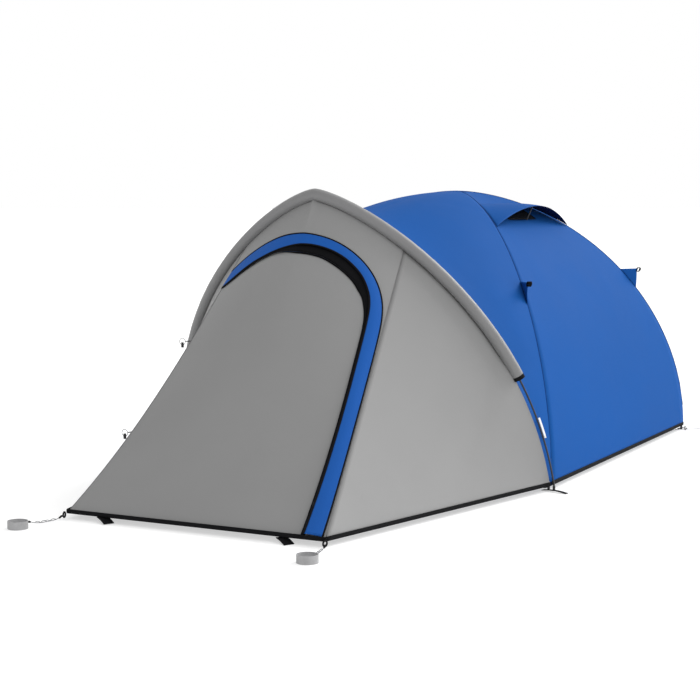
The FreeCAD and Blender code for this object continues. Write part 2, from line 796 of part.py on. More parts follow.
def make_corner_straps():
    """Black webbing that joins the pole feet and the skin's corners, with a free tail."""
    solids = []
    wide = size("half_width")
    long = size("half_length")
    for x_way in (1, -1):
        foot = Vector(x_way * 1040.0, -long - 10.0, 0)
        tail = Vector(x_way * (wide + 104.0), -long - 55.0, 0)
        solids.append(flat_strap(foot, tail, 25.0, 0.0, 2.0))
        rear_foot = Vector(x_way * (wide - 30.0), long - 18.0, 0)
        rear_tail = Vector(x_way * (wide + 22.0), long + 12.0, 0)
        solids.append(flat_strap(rear_foot, rear_tail, 25.0, 0.0, 2.0))
    feet = [arch_point(0.0), arch_point(180.0)]
    feet += [dome_point(way, way, 1.0, size("upper_pole_depth")) for way in (1, -1)]
    feet += [dome_point(way, -way, 1.0, size("lower_pole_depth")) for way in (1, -1)]
    cutters = []
    for foot in feet:
        cutters.append(Part.makeCylinder(size("tip_radius") + 0.3, 10.0, Vector(foot.x, foot.y, -1.0)))
    trimmed = []
    for solid in solids:
        for cutter in cutters:
            solid = solid.cut(cutter)
        trimmed.append(solid)
    keep_shape("corner_straps", group(trimmed))


def flat_strap(start, end, width, low, thickness):
    run = end - start
    run.normalize()
    side = Vector(-run.y, run.x, 0) * (width * 0.5)
    ring = [start + side, end + side, end - side, start - side, start + side]
    lifted = [Vector(point.x, point.y, low) for point in ring]
    return Part.Face(Part.makePolygon(lifted)).extrude(Vector(0, 0, thickness))


def make_front_tabs():
    """Webbing peg tabs under the front hem."""
    front = -size("half_length") - size("porch_length")
    solids = []
    for start_x, end_x in ((-500.0, -434.0), (458.0, 520.0)):
        start = Vector(start_x, front + 40.0, 0)
        end = Vector(end_x, front - 14.0, 0)
        solids.append(flat_strap(start, end, 42.0, 0.0, 3.0))
    keep_shape("front_peg_tabs", group(solids))


def corner_loop_centre(x_way):
    front = -size("half_length") - size("porch_length")
    return Vector(x_way * (size("porch_half_front") + 6.0), front - 12.0, 22.0)


def make_corner_loops():
    loops = []
    for x_way in (1, -1):
        centre = corner_loop_centre(x_way)
        loops.append(Part.makeTorus(13.0, 2.2, centre, Vector(1, -0.25 * x_way, 0)))
    keep_shape("corner_loops", group(loops))


def make_label():
    """Blank sewn-in tag on the cabin skin beside the porch pole's right foot."""
    low = arch_point(8.5, 2.0, 22.0)
    high = arch_point(12.5, 2.0, 24.0)
    across = Vector(0.2, 0.98, 0) * 18.0
    tag = Part.Face(Part.makePolygon([low, high, high + across, low + across, low]))
    keep_shape("blank_tag", tag.extrude(Vector(1.2, 0, 0)))


LOOP_RADIUS = 17.0


def make_door_ties():
    """Two cord loops on the left ridge, each with a barrel toggle hanging from it."""
    loops = []
    toggles = (("door_toggle_upper", 0.36), ("door_toggle_lower", 0.70))
    for label, down in toggles:
        anchor = mirrored(side_point(0.012, down, -4.0))
        centre = anchor + Vector(-34.0, 0, -12.0)
        ring = Part.makeTorus(LOOP_RADIUS, 1.5, centre, Vector(0, 1, 0))
        tab = round_bar(anchor + Vector(3.0, 0, 0), centre + Vector(LOOP_RADIUS - 1.0, 0, 2.0), 2.5)
        loops.append(ring.fuse(tab))
        barrel = doc.addObject("Part::Cylinder", label + "_barrel")
        barrel.setExpression("Radius", "sizes.toggle_radius")
        barrel.setExpression("Height", "sizes.toggle_length")
        bore = doc.addObject("Part::Cylinder", label + "_bore")
        bore.setExpression("Radius", "sizes.toggle_bore")
        bore.setExpression("Height", "sizes.toggle_radius * 4")
        bore_start = Vector(-2.0 * size("toggle_radius"), 0, size("toggle_length") * 0.5)
        bore.Placement = Placement(bore_start, Rotation(Vector(0, 1, 0), 90))
        cut = doc.addObject("Part::Cut", label)
        cut.Base = barrel
        cut.Tool = bore
        pivot = centre + Vector(0, 0, -LOOP_RADIUS)
        seat = pivot - Vector(0, 0, size("toggle_length") * 0.5)
        keep(cut, label, Placement(seat, Rotation()))
        print_metres(label + " pivot", pivot)
    keep_shape("door_tie_loops", group(loops))


def facing(run, out, base):
    """Placement whose Y runs along run and whose Z faces out."""
    side = run.cross(out)
    side.normalize()
    true_out = side.cross(run)
    turn = FreeCAD.Matrix()
    turn.A11, turn.A21, turn.A31 = side
    turn.A12, turn.A22, turn.A32 = run
    turn.A13, turn.A23, turn.A33 = true_out
    pose = Placement(turn)
    pose.Base = base
    return pose


def front_point_at(x, down, depth):
    """Point of the porch front at a given distance from the centre plane."""
    near = front_point(0.7, down, depth).x
    far = front_point(1.0, down, depth).x
    return front_point(0.7 + 0.3 * (x - near) / (far - near), down, depth)


def make_zip_slider():
    """Slider that closes the door's zip, under the rain flap near the hem."""
    low = front_point_at(554.0, 0.90, -3.6)
    high = front_point_at(521.0, 0.72, -3.6)
    run = high - low
    run.normalize()
    slider = doc.addObject("Part::Box", "zip_slider")
    slider.setExpression("Length", "sizes.slider_width")
    slider.setExpression("Width", "sizes.slider_length")
    slider.setExpression("Height", "sizes.slider_height")
    keep(slider, "zip_slider", facing(run, Vector(0.0, -0.69, 0.72), low))
    print_metres("zip slider at", low)
    print_metres("zip line (x1000)", run * 1000.0)


# ---------------------------------------------------------------- ground anchors and pegs

RIGHT_CORD = [
    Vector(699, -2990, 18), Vector(703, -3012, 10), Vector(707, -3036, 5), Vector(713, -3064, 5),
    Vector(718, -3092, 5), Vector(725, -3120, 6), Vector(730, -3146, 9), Vector(736, -3172, 16),
    Vector(743, -3204, 26),
]


def anchor_cord_points(x_way):
    return [Vector(point.x * x_way, point.y, point.z) for point in RIGHT_CORD]


def make_anchors():
    for side, x_way in (("right", 1), ("left", -1)):
        outer = doc.addObject("Part::Cylinder", "ring_outer_" + side)
        outer.setExpression("Radius", "sizes.ring_radius")
        outer.setExpression("Height", "sizes.ring_height_size")
        inner = doc.addObject("Part::Cylinder", "ring_inner_" + side)
        inner.setExpression("Radius", "sizes.ring_radius - sizes.ring_wall")
        inner.setExpression("Height", "sizes.ring_height_size")
        ring = doc.addObject("Part::Cut", "anchor_ring_" + side)
        ring.Base = outer
        ring.Tool = inner
        points = anchor_cord_points(x_way)
        end = points[-1]
        run = end - points[-2]
        flat = Vector(run.x, run.y, 0)
        flat.normalize()
        seat = Vector(end.x, end.y, 0) + flat * size("ring_radius")
        keep(ring, "anchor_ring_" + side, Placement(seat, Rotation()))
        edges, radii = cord_path(points)
        heading = points[1] - points[0]
        heading.normalize()
        cord = tube_along(edges, points[0], heading, size("cord_radius"))
        length = sum(edge.Length for edge in edges)
        print("anchor_cord_" + side, "length", round(length, 1), "radii", [round(r, 1) for r in radii])
        keep_shape("anchor_cord_" + side, cord)


def make_pegs():
    """Steel hook pegs lying through the rear corner loops."""
    loops = []
    for side, x_way in (("right", 1), ("left", -1)):
        loop = Vector(x_way * (size("half_width") + 26.0), size("half_length") - 46.0, 14.0)
        run = Vector(x_way * 0.72, 0.69, 0)
        run.normalize()
        loops.append(Part.makeTorus(12.0, 2.0, loop, run))
        low = Vector(loop.x, loop.y, size("peg_radius") + 4.4) - run * 55.0
        shaft = doc.addObject("Part::Cylinder", "peg_shaft_" + side)
        shaft.setExpression("Radius", "sizes.peg_radius")
        shaft.setExpression("Height", "sizes.peg_length")
        hook = doc.addObject("Part::Torus", "peg_hook_" + side)
        hook.setExpression("Radius1", "sizes.peg_hook_radius")
        hook.setExpression("Radius2", "sizes.peg_radius")
        hook.Angle3 = 180.0
        hook.Placement = Placement(Vector(size("peg_hook_radius"), 0, 0), Rotation(Vector(1, 0, 0), -90))
        peg = doc.addObject("Part::Fuse", "rear_peg_" + side)
        peg.Base = shaft
        peg.Tool = hook
        aside = Vector(-run.y, run.x, 0) * x_way
        turn = FreeCAD.Matrix()
        turn.A11, turn.A21, turn.A31 = aside
        turn.A12, turn.A22, turn.A32 = run.cross(aside)
        turn.A13, turn.A23, turn.A33 = run
        pose = Placement(turn)
        pose.Base = low
        keep(peg, "rear_peg_" + side, pose)
    keep_shape("rear_peg_loops", group(loops))


make_cabin_skin()
make_front_span()
make_crown_patch()
make_porch()
make_hem_tapes()
make_cabin_poles()
make_porch_pole()
make_sleeve()
make_crown_hub()
make_inner_cabin()
make_floor()
make_inner_hooks()
make_vents()
make_guy_tabs()
make_corner_straps()
make_front_tabs()
make_corner_loops()
make_label()
make_door_ties()
make_zip_slider()
make_anchors()
make_pegs()
doc.recompute()

for item in doc.Objects:
    if "Invalid" in item.State or "Error" in item.State:
        raise RuntimeError(item.Label + " failed to build")
for part in parts:
    if part.Shape.isNull() or not part.Shape.isValid():
        raise RuntimeError(part.Label + " is not a valid shape")
for part in parts:
    part.Shape.exportStep(os.path.join("parts", part.Label + ".step"))
print(len(parts), "nodes")
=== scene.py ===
import math

import bmesh
import bpy
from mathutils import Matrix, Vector, noise


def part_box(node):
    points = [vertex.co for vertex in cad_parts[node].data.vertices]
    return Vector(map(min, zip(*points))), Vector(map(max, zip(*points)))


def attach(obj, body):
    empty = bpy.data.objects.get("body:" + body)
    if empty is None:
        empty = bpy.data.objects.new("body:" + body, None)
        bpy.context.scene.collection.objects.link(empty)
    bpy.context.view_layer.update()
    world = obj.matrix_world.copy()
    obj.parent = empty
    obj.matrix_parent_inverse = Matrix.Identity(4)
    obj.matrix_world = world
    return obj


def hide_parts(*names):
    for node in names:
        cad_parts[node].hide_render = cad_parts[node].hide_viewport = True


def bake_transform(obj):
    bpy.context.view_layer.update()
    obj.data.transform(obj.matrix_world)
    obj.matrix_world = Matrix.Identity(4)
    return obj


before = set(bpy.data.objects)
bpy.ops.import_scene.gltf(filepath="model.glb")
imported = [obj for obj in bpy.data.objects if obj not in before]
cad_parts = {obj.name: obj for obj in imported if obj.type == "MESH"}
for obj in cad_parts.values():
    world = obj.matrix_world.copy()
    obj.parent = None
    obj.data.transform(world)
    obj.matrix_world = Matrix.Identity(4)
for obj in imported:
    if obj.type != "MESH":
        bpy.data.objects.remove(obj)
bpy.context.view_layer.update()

# ---- camera and light

CAMERA_PLACE = Vector((3.8994, -8.9820, 1.5061))
CAMERA_TURN = math.radians(27.219)
CAMERA_PITCH = math.radians(5.443)
CAMERA_LENS = 82.7
BRIGHT_SIDE = (0.35, 0.93, 0.10)
DIM_SIDE_STRENGTH = 0.68
# Share towards the bright side where the world starts and stops brightening.
DIM_END, BRIGHT_START = -0.5, 0.42
FLOOR_GREY, FLOOR_DROP = 0.60, 0.0005
SENSOR_WIDTH, CLIP_END = 36.0, 200.0
FLOOR_REACH = 600.0
FLOOR_GLOW = 0.50
# Name, direction towards the sun, strength and angular width in degrees.
SUNS = (
    ("back_light", (0.40, 0.72, 0.56), 2.4, 35.0),
    ("key_light", (0.80, -0.35, 0.50), 0.38, 50.0),
)


def make_camera():
    data = bpy.data.cameras.new("camera")
    data.lens = CAMERA_LENS
    data.sensor_width = SENSOR_WIDTH
    data.clip_end = CLIP_END
    camera = bpy.data.objects.new("camera", data)
    bpy.context.scene.collection.objects.link(camera)
    camera.location = CAMERA_PLACE
    camera.rotation_euler = (math.pi / 2 - CAMERA_PITCH, 0.0, CAMERA_TURN)
    bpy.context.scene.camera = camera


def make_lights():
    """White studio, brighter behind and to the right, with a soft back light and a weak key."""
    scene = bpy.context.scene
    scene.view_settings.view_transform = "Standard"
    world = bpy.data.worlds.new("studio")
    scene.world = world
    world.use_nodes = True
    tree = world.node_tree
    place = tree.nodes.new("ShaderNodeTexCoord")
    toward = tree.nodes.new("ShaderNodeVectorMath")
    toward.operation = "DOT_PRODUCT"
    toward.inputs[1].default_value = BRIGHT_SIDE
    tree.links.new(place.outputs["Generated"], toward.inputs[0])
    fade = tree.nodes.new("ShaderNodeMapRange")
    fade.interpolation_type = "SMOOTHSTEP"
    fade.inputs["From Min"].default_value = DIM_END
    fade.inputs["From Max"].default_value = BRIGHT_START
    fade.inputs["To Min"].default_value = DIM_SIDE_STRENGTH
    fade.inputs["To Max"].default_value = 1.0
    tree.links.new(toward.outputs["Value"], fade.inputs["Value"])
    tree.links.new(fade.outputs["Result"], tree.nodes["Background"].inputs["Strength"])
    tree.nodes["Background"].inputs["Color"].default_value = (1.0, 1.0, 1.0, 1.0)
    for name, toward_sun, strength, width in SUNS:
        data = bpy.data.lights.new(name, "SUN")
        data.energy = strength
        data.angle = math.radians(width)
        lamp = bpy.data.objects.new(name, data)
        lamp.rotation_euler = Vector(toward_sun).to_track_quat("Z", "Y").to_euler()
        scene.collection.objects.link(lamp)


def make_floor_stage():
    data = bpy.data.meshes.new("studio_floor")
    reach = FLOOR_REACH
    corners = [(-reach, -reach, 0.0), (reach, -reach, 0.0), (reach, reach, 0.0), (-reach, reach, 0.0)]
    data.from_pydata(corners, [], [(0, 1, 2, 3)])
    floor = bpy.data.objects.new("studio_floor", data)
    floor.location = (0.0, 0.0, -FLOOR_DROP)
    bpy.context.scene.collection.objects.link(floor)
    paint = bpy.data.materials.new("studio_floor_paint")
    paint.use_nodes = True
    shader = paint.node_tree.nodes["Principled BSDF"]
    shader.inputs["Base Color"].default_value = (FLOOR_GREY, FLOOR_GREY, FLOOR_GREY, 1.0)
    shader.inputs["Roughness"].default_value = 0.9
    shader.inputs["Specular IOR Level"].default_value = 0.0
    shader.inputs["Emission Color"].default_value = (1.0, 1.0, 1.0, 1.0)
    shader.inputs["Emission Strength"].default_value = FLOOR_GLOW
    data.materials.append(paint)


# ---- materials

# Threads or ribs per metre.
FINE_WEAVE, SLEEVE_WEAVE, INNER_WEAVE, FLOOR_WEAVE = 2400.0, 1800.0, 2000.0, 700.0
RIPSTOP, NET_WEAVE, WEBBING_RIBS, ZIP_RIBS, CORD_RIBS = 160.0, 500.0, 1400.0, 1100.0, 900.0
# Painted shade in the weave's low parts and painted highlight on the ribs' tops, as shares of the colour; and
# the net's opacity.
WEAVE_SHADE, RIB_SHADE, NET_ALPHA = 0.10, 0.004, 0.93
CREASES = {"Scale": 2.6, "Detail": 3.0, "Roughness": 0.45, "Distortion": 0.4}
ROUGHNESS_LOSS, ROUGHNESS_GAIN = 0.06, 0.08
# Bumps: strength, and height in metres.
CREASE_BUMP, WEAVE_BUMP, RIPSTOP_BUMP = (0.35, 0.012), (0.25, 0.0002), (0.15, 0.0004)
RIB_BUMP, NET_BUMP, SCRATCH_BUMP = (0.5, 0.0006), (0.6, 0.0005), (0.2, 0.0002)
GRAIN_HEIGHT = 0.0002
# Colour drift: share of the colour, and clouds per metre.
CLOTH_DRIFT, WEBBING_DRIFT, NET_DRIFT = (0.035, 1.3), (0.18, 9.0), (0.1, 5.0)
PLASTIC_DRIFT, METAL_DRIFT = (0.12, 30.0), (0.15, 60.0)


def new_material(name, roughness, sheen=0.0, metallic=0.0, specular=0.5):
    material = bpy.data.materials.new(name)
    material.use_nodes = True
    tree = material.node_tree
    shader = tree.nodes["Principled BSDF"]
    shader.inputs["Roughness"].default_value = roughness
    shader.inputs["Metallic"].default_value = metallic
    shader.inputs["Sheen Weight"].default_value = sheen
    shader.inputs["Sheen Roughness"].default_value = 0.5
    shader.inputs["Specular IOR Level"].default_value = specular
    place = tree.nodes.new("ShaderNodeTexCoord")
    return material, tree, shader, place.outputs["UV"], place.outputs["Object"]


def add_node(tree, kind, **inputs):
    node = tree.nodes.new(kind)
    for key, value in inputs.items():
        node.inputs[key.replace("_", " ")].default_value = value
    return node


def clouds(tree, vector, **inputs):
    node = add_node(tree, "ShaderNodeTexNoise", **inputs)
    tree.links.new(vector, node.inputs["Vector"])
    return node.outputs["Fac"]


def varied_colour(tree, vector, colour, share, scale):
    """Colour that drifts a little over the surface."""
    ramp = tree.nodes.new("ShaderNodeValToRGB")
    ramp.color_ramp.elements[0].position = 0.3
    ramp.color_ramp.elements[1].position = 0.7
    dark = [channel * (1.0 - share) for channel in colour]
    light = [min(channel * (1.0 + share), 1.0) for channel in colour]
    ramp.color_ramp.elements[0].color = (*dark, 1.0)
    ramp.color_ramp.elements[1].color = (*light, 1.0)
    tree.links.new(clouds(tree, vector, Scale=scale, Detail=4.0, Roughness=0.6), ramp.inputs["Fac"])
    return ramp.outputs["Color"]


def weave_height(tree, vector, threads_per_metre):
    """Over and under height of a plain weave."""
    mix = tree.nodes.new("ShaderNodeMath")
    mix.operation = "MULTIPLY"
    for index, direction in enumerate(("X", "Y")):
        wave = add_node(tree, "ShaderNodeTexWave", Scale=threads_per_metre / 20.0 * math.pi)
        wave.bands_direction = direction
        wave.wave_profile = "SIN"
        tree.links.new(vector, wave.inputs["Vector"])
        tree.links.new(wave.outputs["Fac"], mix.inputs[index])
    return mix.outputs["Value"]


def bump_chain(tree, shader, layers):
    """Bumps laid one over another; each layer is (height output, strength, distance)."""
    normal = None
    for height, strength, distance in layers:
        bump = add_node(tree, "ShaderNodeBump", Strength=strength, Distance=distance)
        tree.links.new(height, bump.inputs["Height"])
        if normal is not None:
            tree.links.new(normal, bump.inputs["Normal"])
        normal = bump.outputs["Normal"]
    tree.links.new(normal, shader.inputs["Normal"])


def shade_threads(tree, shader, base, threads, blend_type, factor):
    """Base colour with the threads' height mixed in: multiplied in, it paints shade into the weave's low
    parts; added, it paints a highlight on the ribs' tops.
    """
    shade = tree.nodes.new("ShaderNodeMix")
    shade.data_type = "RGBA"
    shade.blend_type = blend_type
    shade.inputs["Factor"].default_value = factor
    tree.links.new(base, shade.inputs["A"])
    tree.links.new(threads, shade.inputs["B"])
    tree.links.new(shade.outputs["Result"], shader.inputs["Base Color"])


def cloth_material(name, colour, threads=FINE_WEAVE, roughness=0.62, sheen=0.02, ripstop=0.0, specular=0.25):
    """Coated woven cloth: plain weave, faint ripstop squares, slow colour drift and soft creases."""
    material, tree, shader, uv, body = new_material(name, roughness, sheen, 0.0, specular)
    weave = weave_height(tree, uv, threads)
    base = varied_colour(tree, body, colour, *CLOTH_DRIFT)
    shade_threads(tree, shader, base, weave, "MULTIPLY", WEAVE_SHADE)
    creases = clouds(tree, body, **CREASES)
    rough = tree.nodes.new("ShaderNodeMapRange")
    rough.inputs["To Min"].default_value = roughness - ROUGHNESS_LOSS
    rough.inputs["To Max"].default_value = roughness + ROUGHNESS_GAIN
    tree.links.new(creases, rough.inputs["Value"])
    tree.links.new(rough.outputs["Result"], shader.inputs["Roughness"])
    layers = [(creases, *CREASE_BUMP), (weave, *WEAVE_BUMP)]
    if ripstop > 0.0:
        layers.append((weave_height(tree, uv, ripstop), *RIPSTOP_BUMP))
    bump_chain(tree, shader, layers)
    return material


def webbing_material(name, colour, pitch=WEBBING_RIBS):
    """Tightly woven tape with a ribbed face."""
    material, tree, shader, uv, body = new_material(name, 0.85, specular=0.1)
    ribs = weave_height(tree, uv, pitch)
    shade_threads(tree, shader, varied_colour(tree, body, colour, *WEBBING_DRIFT), ribs, "ADD", RIB_SHADE)
    bump_chain(tree, shader, [(ribs, *RIB_BUMP)])
    return material


def moulded_material(name, colour, roughness, grain=0.35):
    """Moulded plastic with a fine spark-eroded grain."""
    material, tree, shader, _, body = new_material(name, roughness)
    tree.links.new(varied_colour(tree, body, colour, *PLASTIC_DRIFT), shader.inputs["Base Color"])
    bump_chain(tree, shader, [(clouds(tree, body, Scale=1500.0, Detail=2.0), grain, GRAIN_HEIGHT)])
    return material


def metal_material(name, colour, roughness):
    """Metal with fine scratches, finer along Z."""
    material, tree, shader, _, body = new_material(name, roughness, metallic=1.0)
    tree.links.new(varied_colour(tree, body, colour, *METAL_DRIFT), shader.inputs["Base Color"])
    stretch = add_node(tree, "ShaderNodeMapping", Scale=(1.0, 1.0, 12.0))
    tree.links.new(body, stretch.inputs["Vector"])
    scratch = clouds(tree, stretch.outputs["Vector"], Scale=400.0, Detail=3.0)
    bump_chain(tree, shader, [(scratch, *SCRATCH_BUMP)])
    return material


def mesh_net_material(name, colour):
    """Dense netting: nearly opaque, with the threads as a bump and no real holes."""
    material, tree, shader, uv, body = new_material(name, 0.85, specular=0.05)
    tree.links.new(varied_colour(tree, body, colour, *NET_DRIFT), shader.inputs["Base Color"])
    bump_chain(tree, shader, [(weave_height(tree, uv, NET_WEAVE), *NET_BUMP)])
    shader.inputs["Alpha"].default_value = NET_ALPHA
    return material


BLUE = (0.011, 0.086, 0.325)
BLUE_TRIM = (0.014, 0.100, 0.400)
# Dark navy of the vent hoods' underside and rim: painted shade under the brim.
HOOD_SHADE_NAVY = (0.004, 0.012, 0.060)
BLUE_SEAM = (0.006, 0.045, 0.190)
GREY = (0.270, 0.270, 0.270)
GREY_SEAM = (0.190, 0.190, 0.192)
GREY_SLEEVE = (0.205, 0.205, 0.207)
BLACK = (0.005, 0.005, 0.006)


def make_materials():
    return {
        "blue": cloth_material("fly_cloth_blue", BLUE, sheen=0.0, ripstop=RIPSTOP, specular=0.02),
        "hood_shade": cloth_material("hood_underside_painted_shade", HOOD_SHADE_NAVY, FINE_WEAVE, 0.8, 0.0, specular=0.03),
        "blue_seam": cloth_material("fly_seam_tape", BLUE_SEAM, specular=0.03),
        "grey_seam": cloth_material("porch_seam_thread", GREY_SEAM),
        "blue_trim": cloth_material("flap_cloth_blue", BLUE_TRIM, sheen=0.0, specular=0.06),
        "grey": cloth_material("porch_cloth_grey", GREY, ripstop=RIPSTOP),
        "sleeve": cloth_material("sleeve_cloth_grey", GREY_SLEEVE, SLEEVE_WEAVE, 0.5, 0.1, specular=0.5),
        "black": webbing_material("webbing_black", BLACK),
        # The zips' black also paints the shadow under the rain flap.
        "zip": webbing_material("zip_tape_black", (0.004, 0.004, 0.005), ZIP_RIBS),
        "net": mesh_net_material("net_black", (0.012, 0.014, 0.020)),
        "inner": cloth_material("inner_cloth", (0.56, 0.57, 0.60), INNER_WEAVE, 0.75),
        "floor": cloth_material("floor_cloth", (0.06, 0.07, 0.085), FLOOR_WEAVE, 0.45, 0.1),
        "rod": moulded_material("pole_fibreglass", (0.012, 0.012, 0.014), 0.32, 0.1),
        "steel": metal_material("ferrule_steel", (0.62, 0.62, 0.63), 0.28),
        "peg": metal_material("peg_steel", (0.42, 0.42, 0.44), 0.35),
        "plastic": moulded_material("black_nylon", (0.014, 0.014, 0.016), 0.5),
        "tag": cloth_material("tag_cloth", (0.80, 0.80, 0.80)),
        "ring": moulded_material("ring_plastic", (0.34, 0.34, 0.345), 0.6),
        "cord": webbing_material("cord_grey", (0.16, 0.165, 0.175), CORD_RIBS),
        "slider": metal_material("slider_metal", (0.05, 0.05, 0.055), 0.4),
    }


PAINTS = make_materials()
SIDES = (("right", 1), ("left", -1))


# ---- form of the tent, in metres and degrees

HALF_WIDTH = 1.082
HALF_LENGTH = 1.240
HEM = 0.030
DOME_RISE = 1.512
DOME_POWER = 1.781
DOME_ROOT = 0.518
ARCH_RISE = 1.487
ARCH_LEAN = 0.549
ARCH_HALF_SPAN = 1.080
ARCH_POWER = 1.489
ARCH_ROOT = 0.929
CROWN_ROUNDING = 0.0022
FOOT_FLARE = 0.017
PORCH_FRONT = -2.971
PORCH_HALF_FRONT = 0.687
RIDGE_ANGLE = 55.0
LOWEST_ANGLE = 0.8
SPAN_TURN = 89.2
PORCH_SAG = 0.045
SAG_TOP, SAG_GAIN = 0.6, 0.8
SPAN_SAG = 0.090
SLEEVE_END = 21.0
SLEEVE_RADIUS = 0.031
CROWN_REACH = 0.04
# Depth and shift of the seams beside the bare pole, what each gains above the sleeve's end, and where.
SEAM_DEPTH, SEAM_SHIFT = 0.014, -0.020
SPAN_SEAM_GAIN, PORCH_SEAM_GAIN = (0.016, 0.032), (0.014, 0.014)
SEAM_RISE = (20.5, 28.0)
PORCH_SEAM_ROUNDING = 0.0004
# The porch front stands a little proud where its middle meets the sleeve.
PEAK_LIFT, PEAK_HALF_WIDTH, PEAK_DROP = 0.012, 0.13, 0.11
RIDGE_INWARD = (-0.45, 0.62, -0.65)
WALL_INWARD = (-0.86, 0.34, -0.38)
PORCH_CORNER = Vector((PORCH_HALF_FRONT, PORCH_FRONT, HEM))
PORCH_FOOT = Vector((HALF_WIDTH + 0.002, -HALF_LENGTH - 0.014, HEM))


def dome_height(reach, depth=0.0):
    rest = max(1.0 - abs(reach) ** DOME_POWER, 0.0)
    return HEM + (DOME_RISE - depth) * rest ** DOME_ROOT


def dome_point(x_share, y_share, reach, depth=0.0):
    x = x_share * reach * (HALF_WIDTH - depth)
    y = y_share * reach * (HALF_LENGTH - depth)
    return Vector((x, y, dome_height(reach, depth)))


def arch_point(angle, depth=0.0, shift=0.0, rounding=CROWN_ROUNDING):
    turn = math.radians(angle)
    cosine = math.cos(turn)
    sine = max(math.sin(turn), 0.0)
    bend = (ARCH_POWER - 1.0) * 0.5
    x = (ARCH_HALF_SPAN - depth) * cosine
    x *= ((cosine * cosine + rounding) / (1.0 + rounding)) ** bend
    x += math.copysign(FOOT_FLARE * (1.0 - sine) ** 4, cosine)
    share = sine ** ARCH_ROOT
    return Vector((x, -HALF_LENGTH - ARCH_LEAN * share + shift, HEM + (ARCH_RISE - depth) * share))


def smooth(value, low, high):
    share = min(max((value - low) / (high - low), 0.0), 1.0)
    return share * share * (3.0 - 2.0 * share)


def seam_point(angle, gain, rounding=CROWN_ROUNDING):
    above = smooth(min(angle, 180.0 - angle), *SEAM_RISE)
    return arch_point(angle, SEAM_DEPTH + gain[0] * above, SEAM_SHIFT + gain[1] * above, rounding)


def cabin_seam(angle):
    """The blue span's edge under the sleeve's rear; below the sleeve it runs in front of the pole."""
    return seam_point(angle, SPAN_SEAM_GAIN)


def porch_seam(angle):
    """The porch's edge on the sleeve: along its inner side, then just in front of the bare pole."""
    return seam_point(angle, PORCH_SEAM_GAIN, PORCH_SEAM_ROUNDING)


def span_dip(forward):
    """Sag of the span's cloth, deepest three quarters of the way to the sleeve."""
    return SPAN_SAG * forward ** 3 * (1.0 - forward) / (0.75 ** 3 * 0.25)


def sag_amount(down):
    return PORCH_SAG * 4.0 * down * (1.0 - down) * (SAG_TOP + SAG_GAIN * down)


def front_point(across, down, depth=0.0):
    top = porch_seam(90.0 - across * (90.0 - RIDGE_ANGLE))
    hem = Vector((across * PORCH_HALF_FRONT, PORCH_FRONT, HEM))
    inward = Vector((RIDGE_INWARD[0] * across, *RIDGE_INWARD[1:])).normalized()
    depth -= PEAK_LIFT * max(1.0 - abs(across) / PEAK_HALF_WIDTH, 0.0) * max(1.0 - down / PEAK_DROP, 0.0)
    return top * (1.0 - down) + hem * down + inward * (sag_amount(down) + depth)


def side_point(along, down, depth=0.0):
    top = porch_seam(RIDGE_ANGLE + (LOWEST_ANGLE - RIDGE_ANGLE) * along)
    hem = PORCH_CORNER + (PORCH_FOOT - PORCH_CORNER) * along
    inward = (Vector(RIDGE_INWARD) * (1.0 - along) + Vector(WALL_INWARD) * along).normalized()
    return top * (1.0 - down) + hem * down + inward * (sag_amount(down) * (1.0 - along) + depth)


def span_point(along, forward):
    """Roof between the cabin poles' front halves and the arch; along is -1 to 1."""
    share = abs(along)
    way = -1.0 if along < 0.0 else 1.0
    pole = dome_point(way, -1.0, math.sin(math.radians(90.0 * share)))
    edge = cabin_seam(90.0 - SPAN_TURN * share)
    edge.x *= way
    dip = span_dip(forward) * math.cos(math.radians(90.0 * share))
    return pole * (1.0 - forward) + edge * forward - Vector((0.0, 0.0, dip))


def mirrored(point):
    return Vector((-point.x, point.y, point.z))


def spread(low, high, count):
    return [low + (high - low) * index / (count - 1) for index in range(count)]


def shares(count):
    return spread(0.0, 1.0, count)


QUARTERS = {
    "right": lambda across: (1, across),
    "left": lambda across: (-1, across),
    "rear": lambda across: (across, 1),
    "front": lambda across: (across, -1),
}


def dome_rows(quarter, reaches, columns, depth_at):
    """Points over a quarter of the dome; columns gives the shares across at a reach."""
    place = QUARTERS[quarter]
    return [[dome_point(*place(u), reach, depth_at(u, reach)) for u in columns(reach)] for reach in reaches]


# ---- mesh makers

CLOTH_THICKNESS = 0.0012
INSIDE = Vector((0.0, -0.6, 0.3))
UP = Vector((0.0, 0.0, 1.0))
PORCH_UP = Vector((0.0, -0.6, 0.8))


def finish_mesh(name, data, paint, body="shelter", replaced=()):
    piece = bpy.data.objects.new(name, data)
    bpy.context.scene.collection.objects.link(piece)
    data.materials.append(PAINTS[paint])
    data.polygons.foreach_set("use_smooth", [True] * len(data.polygons))
    if body:
        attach(piece, body)
    if replaced:
        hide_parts(*replaced)
    return piece


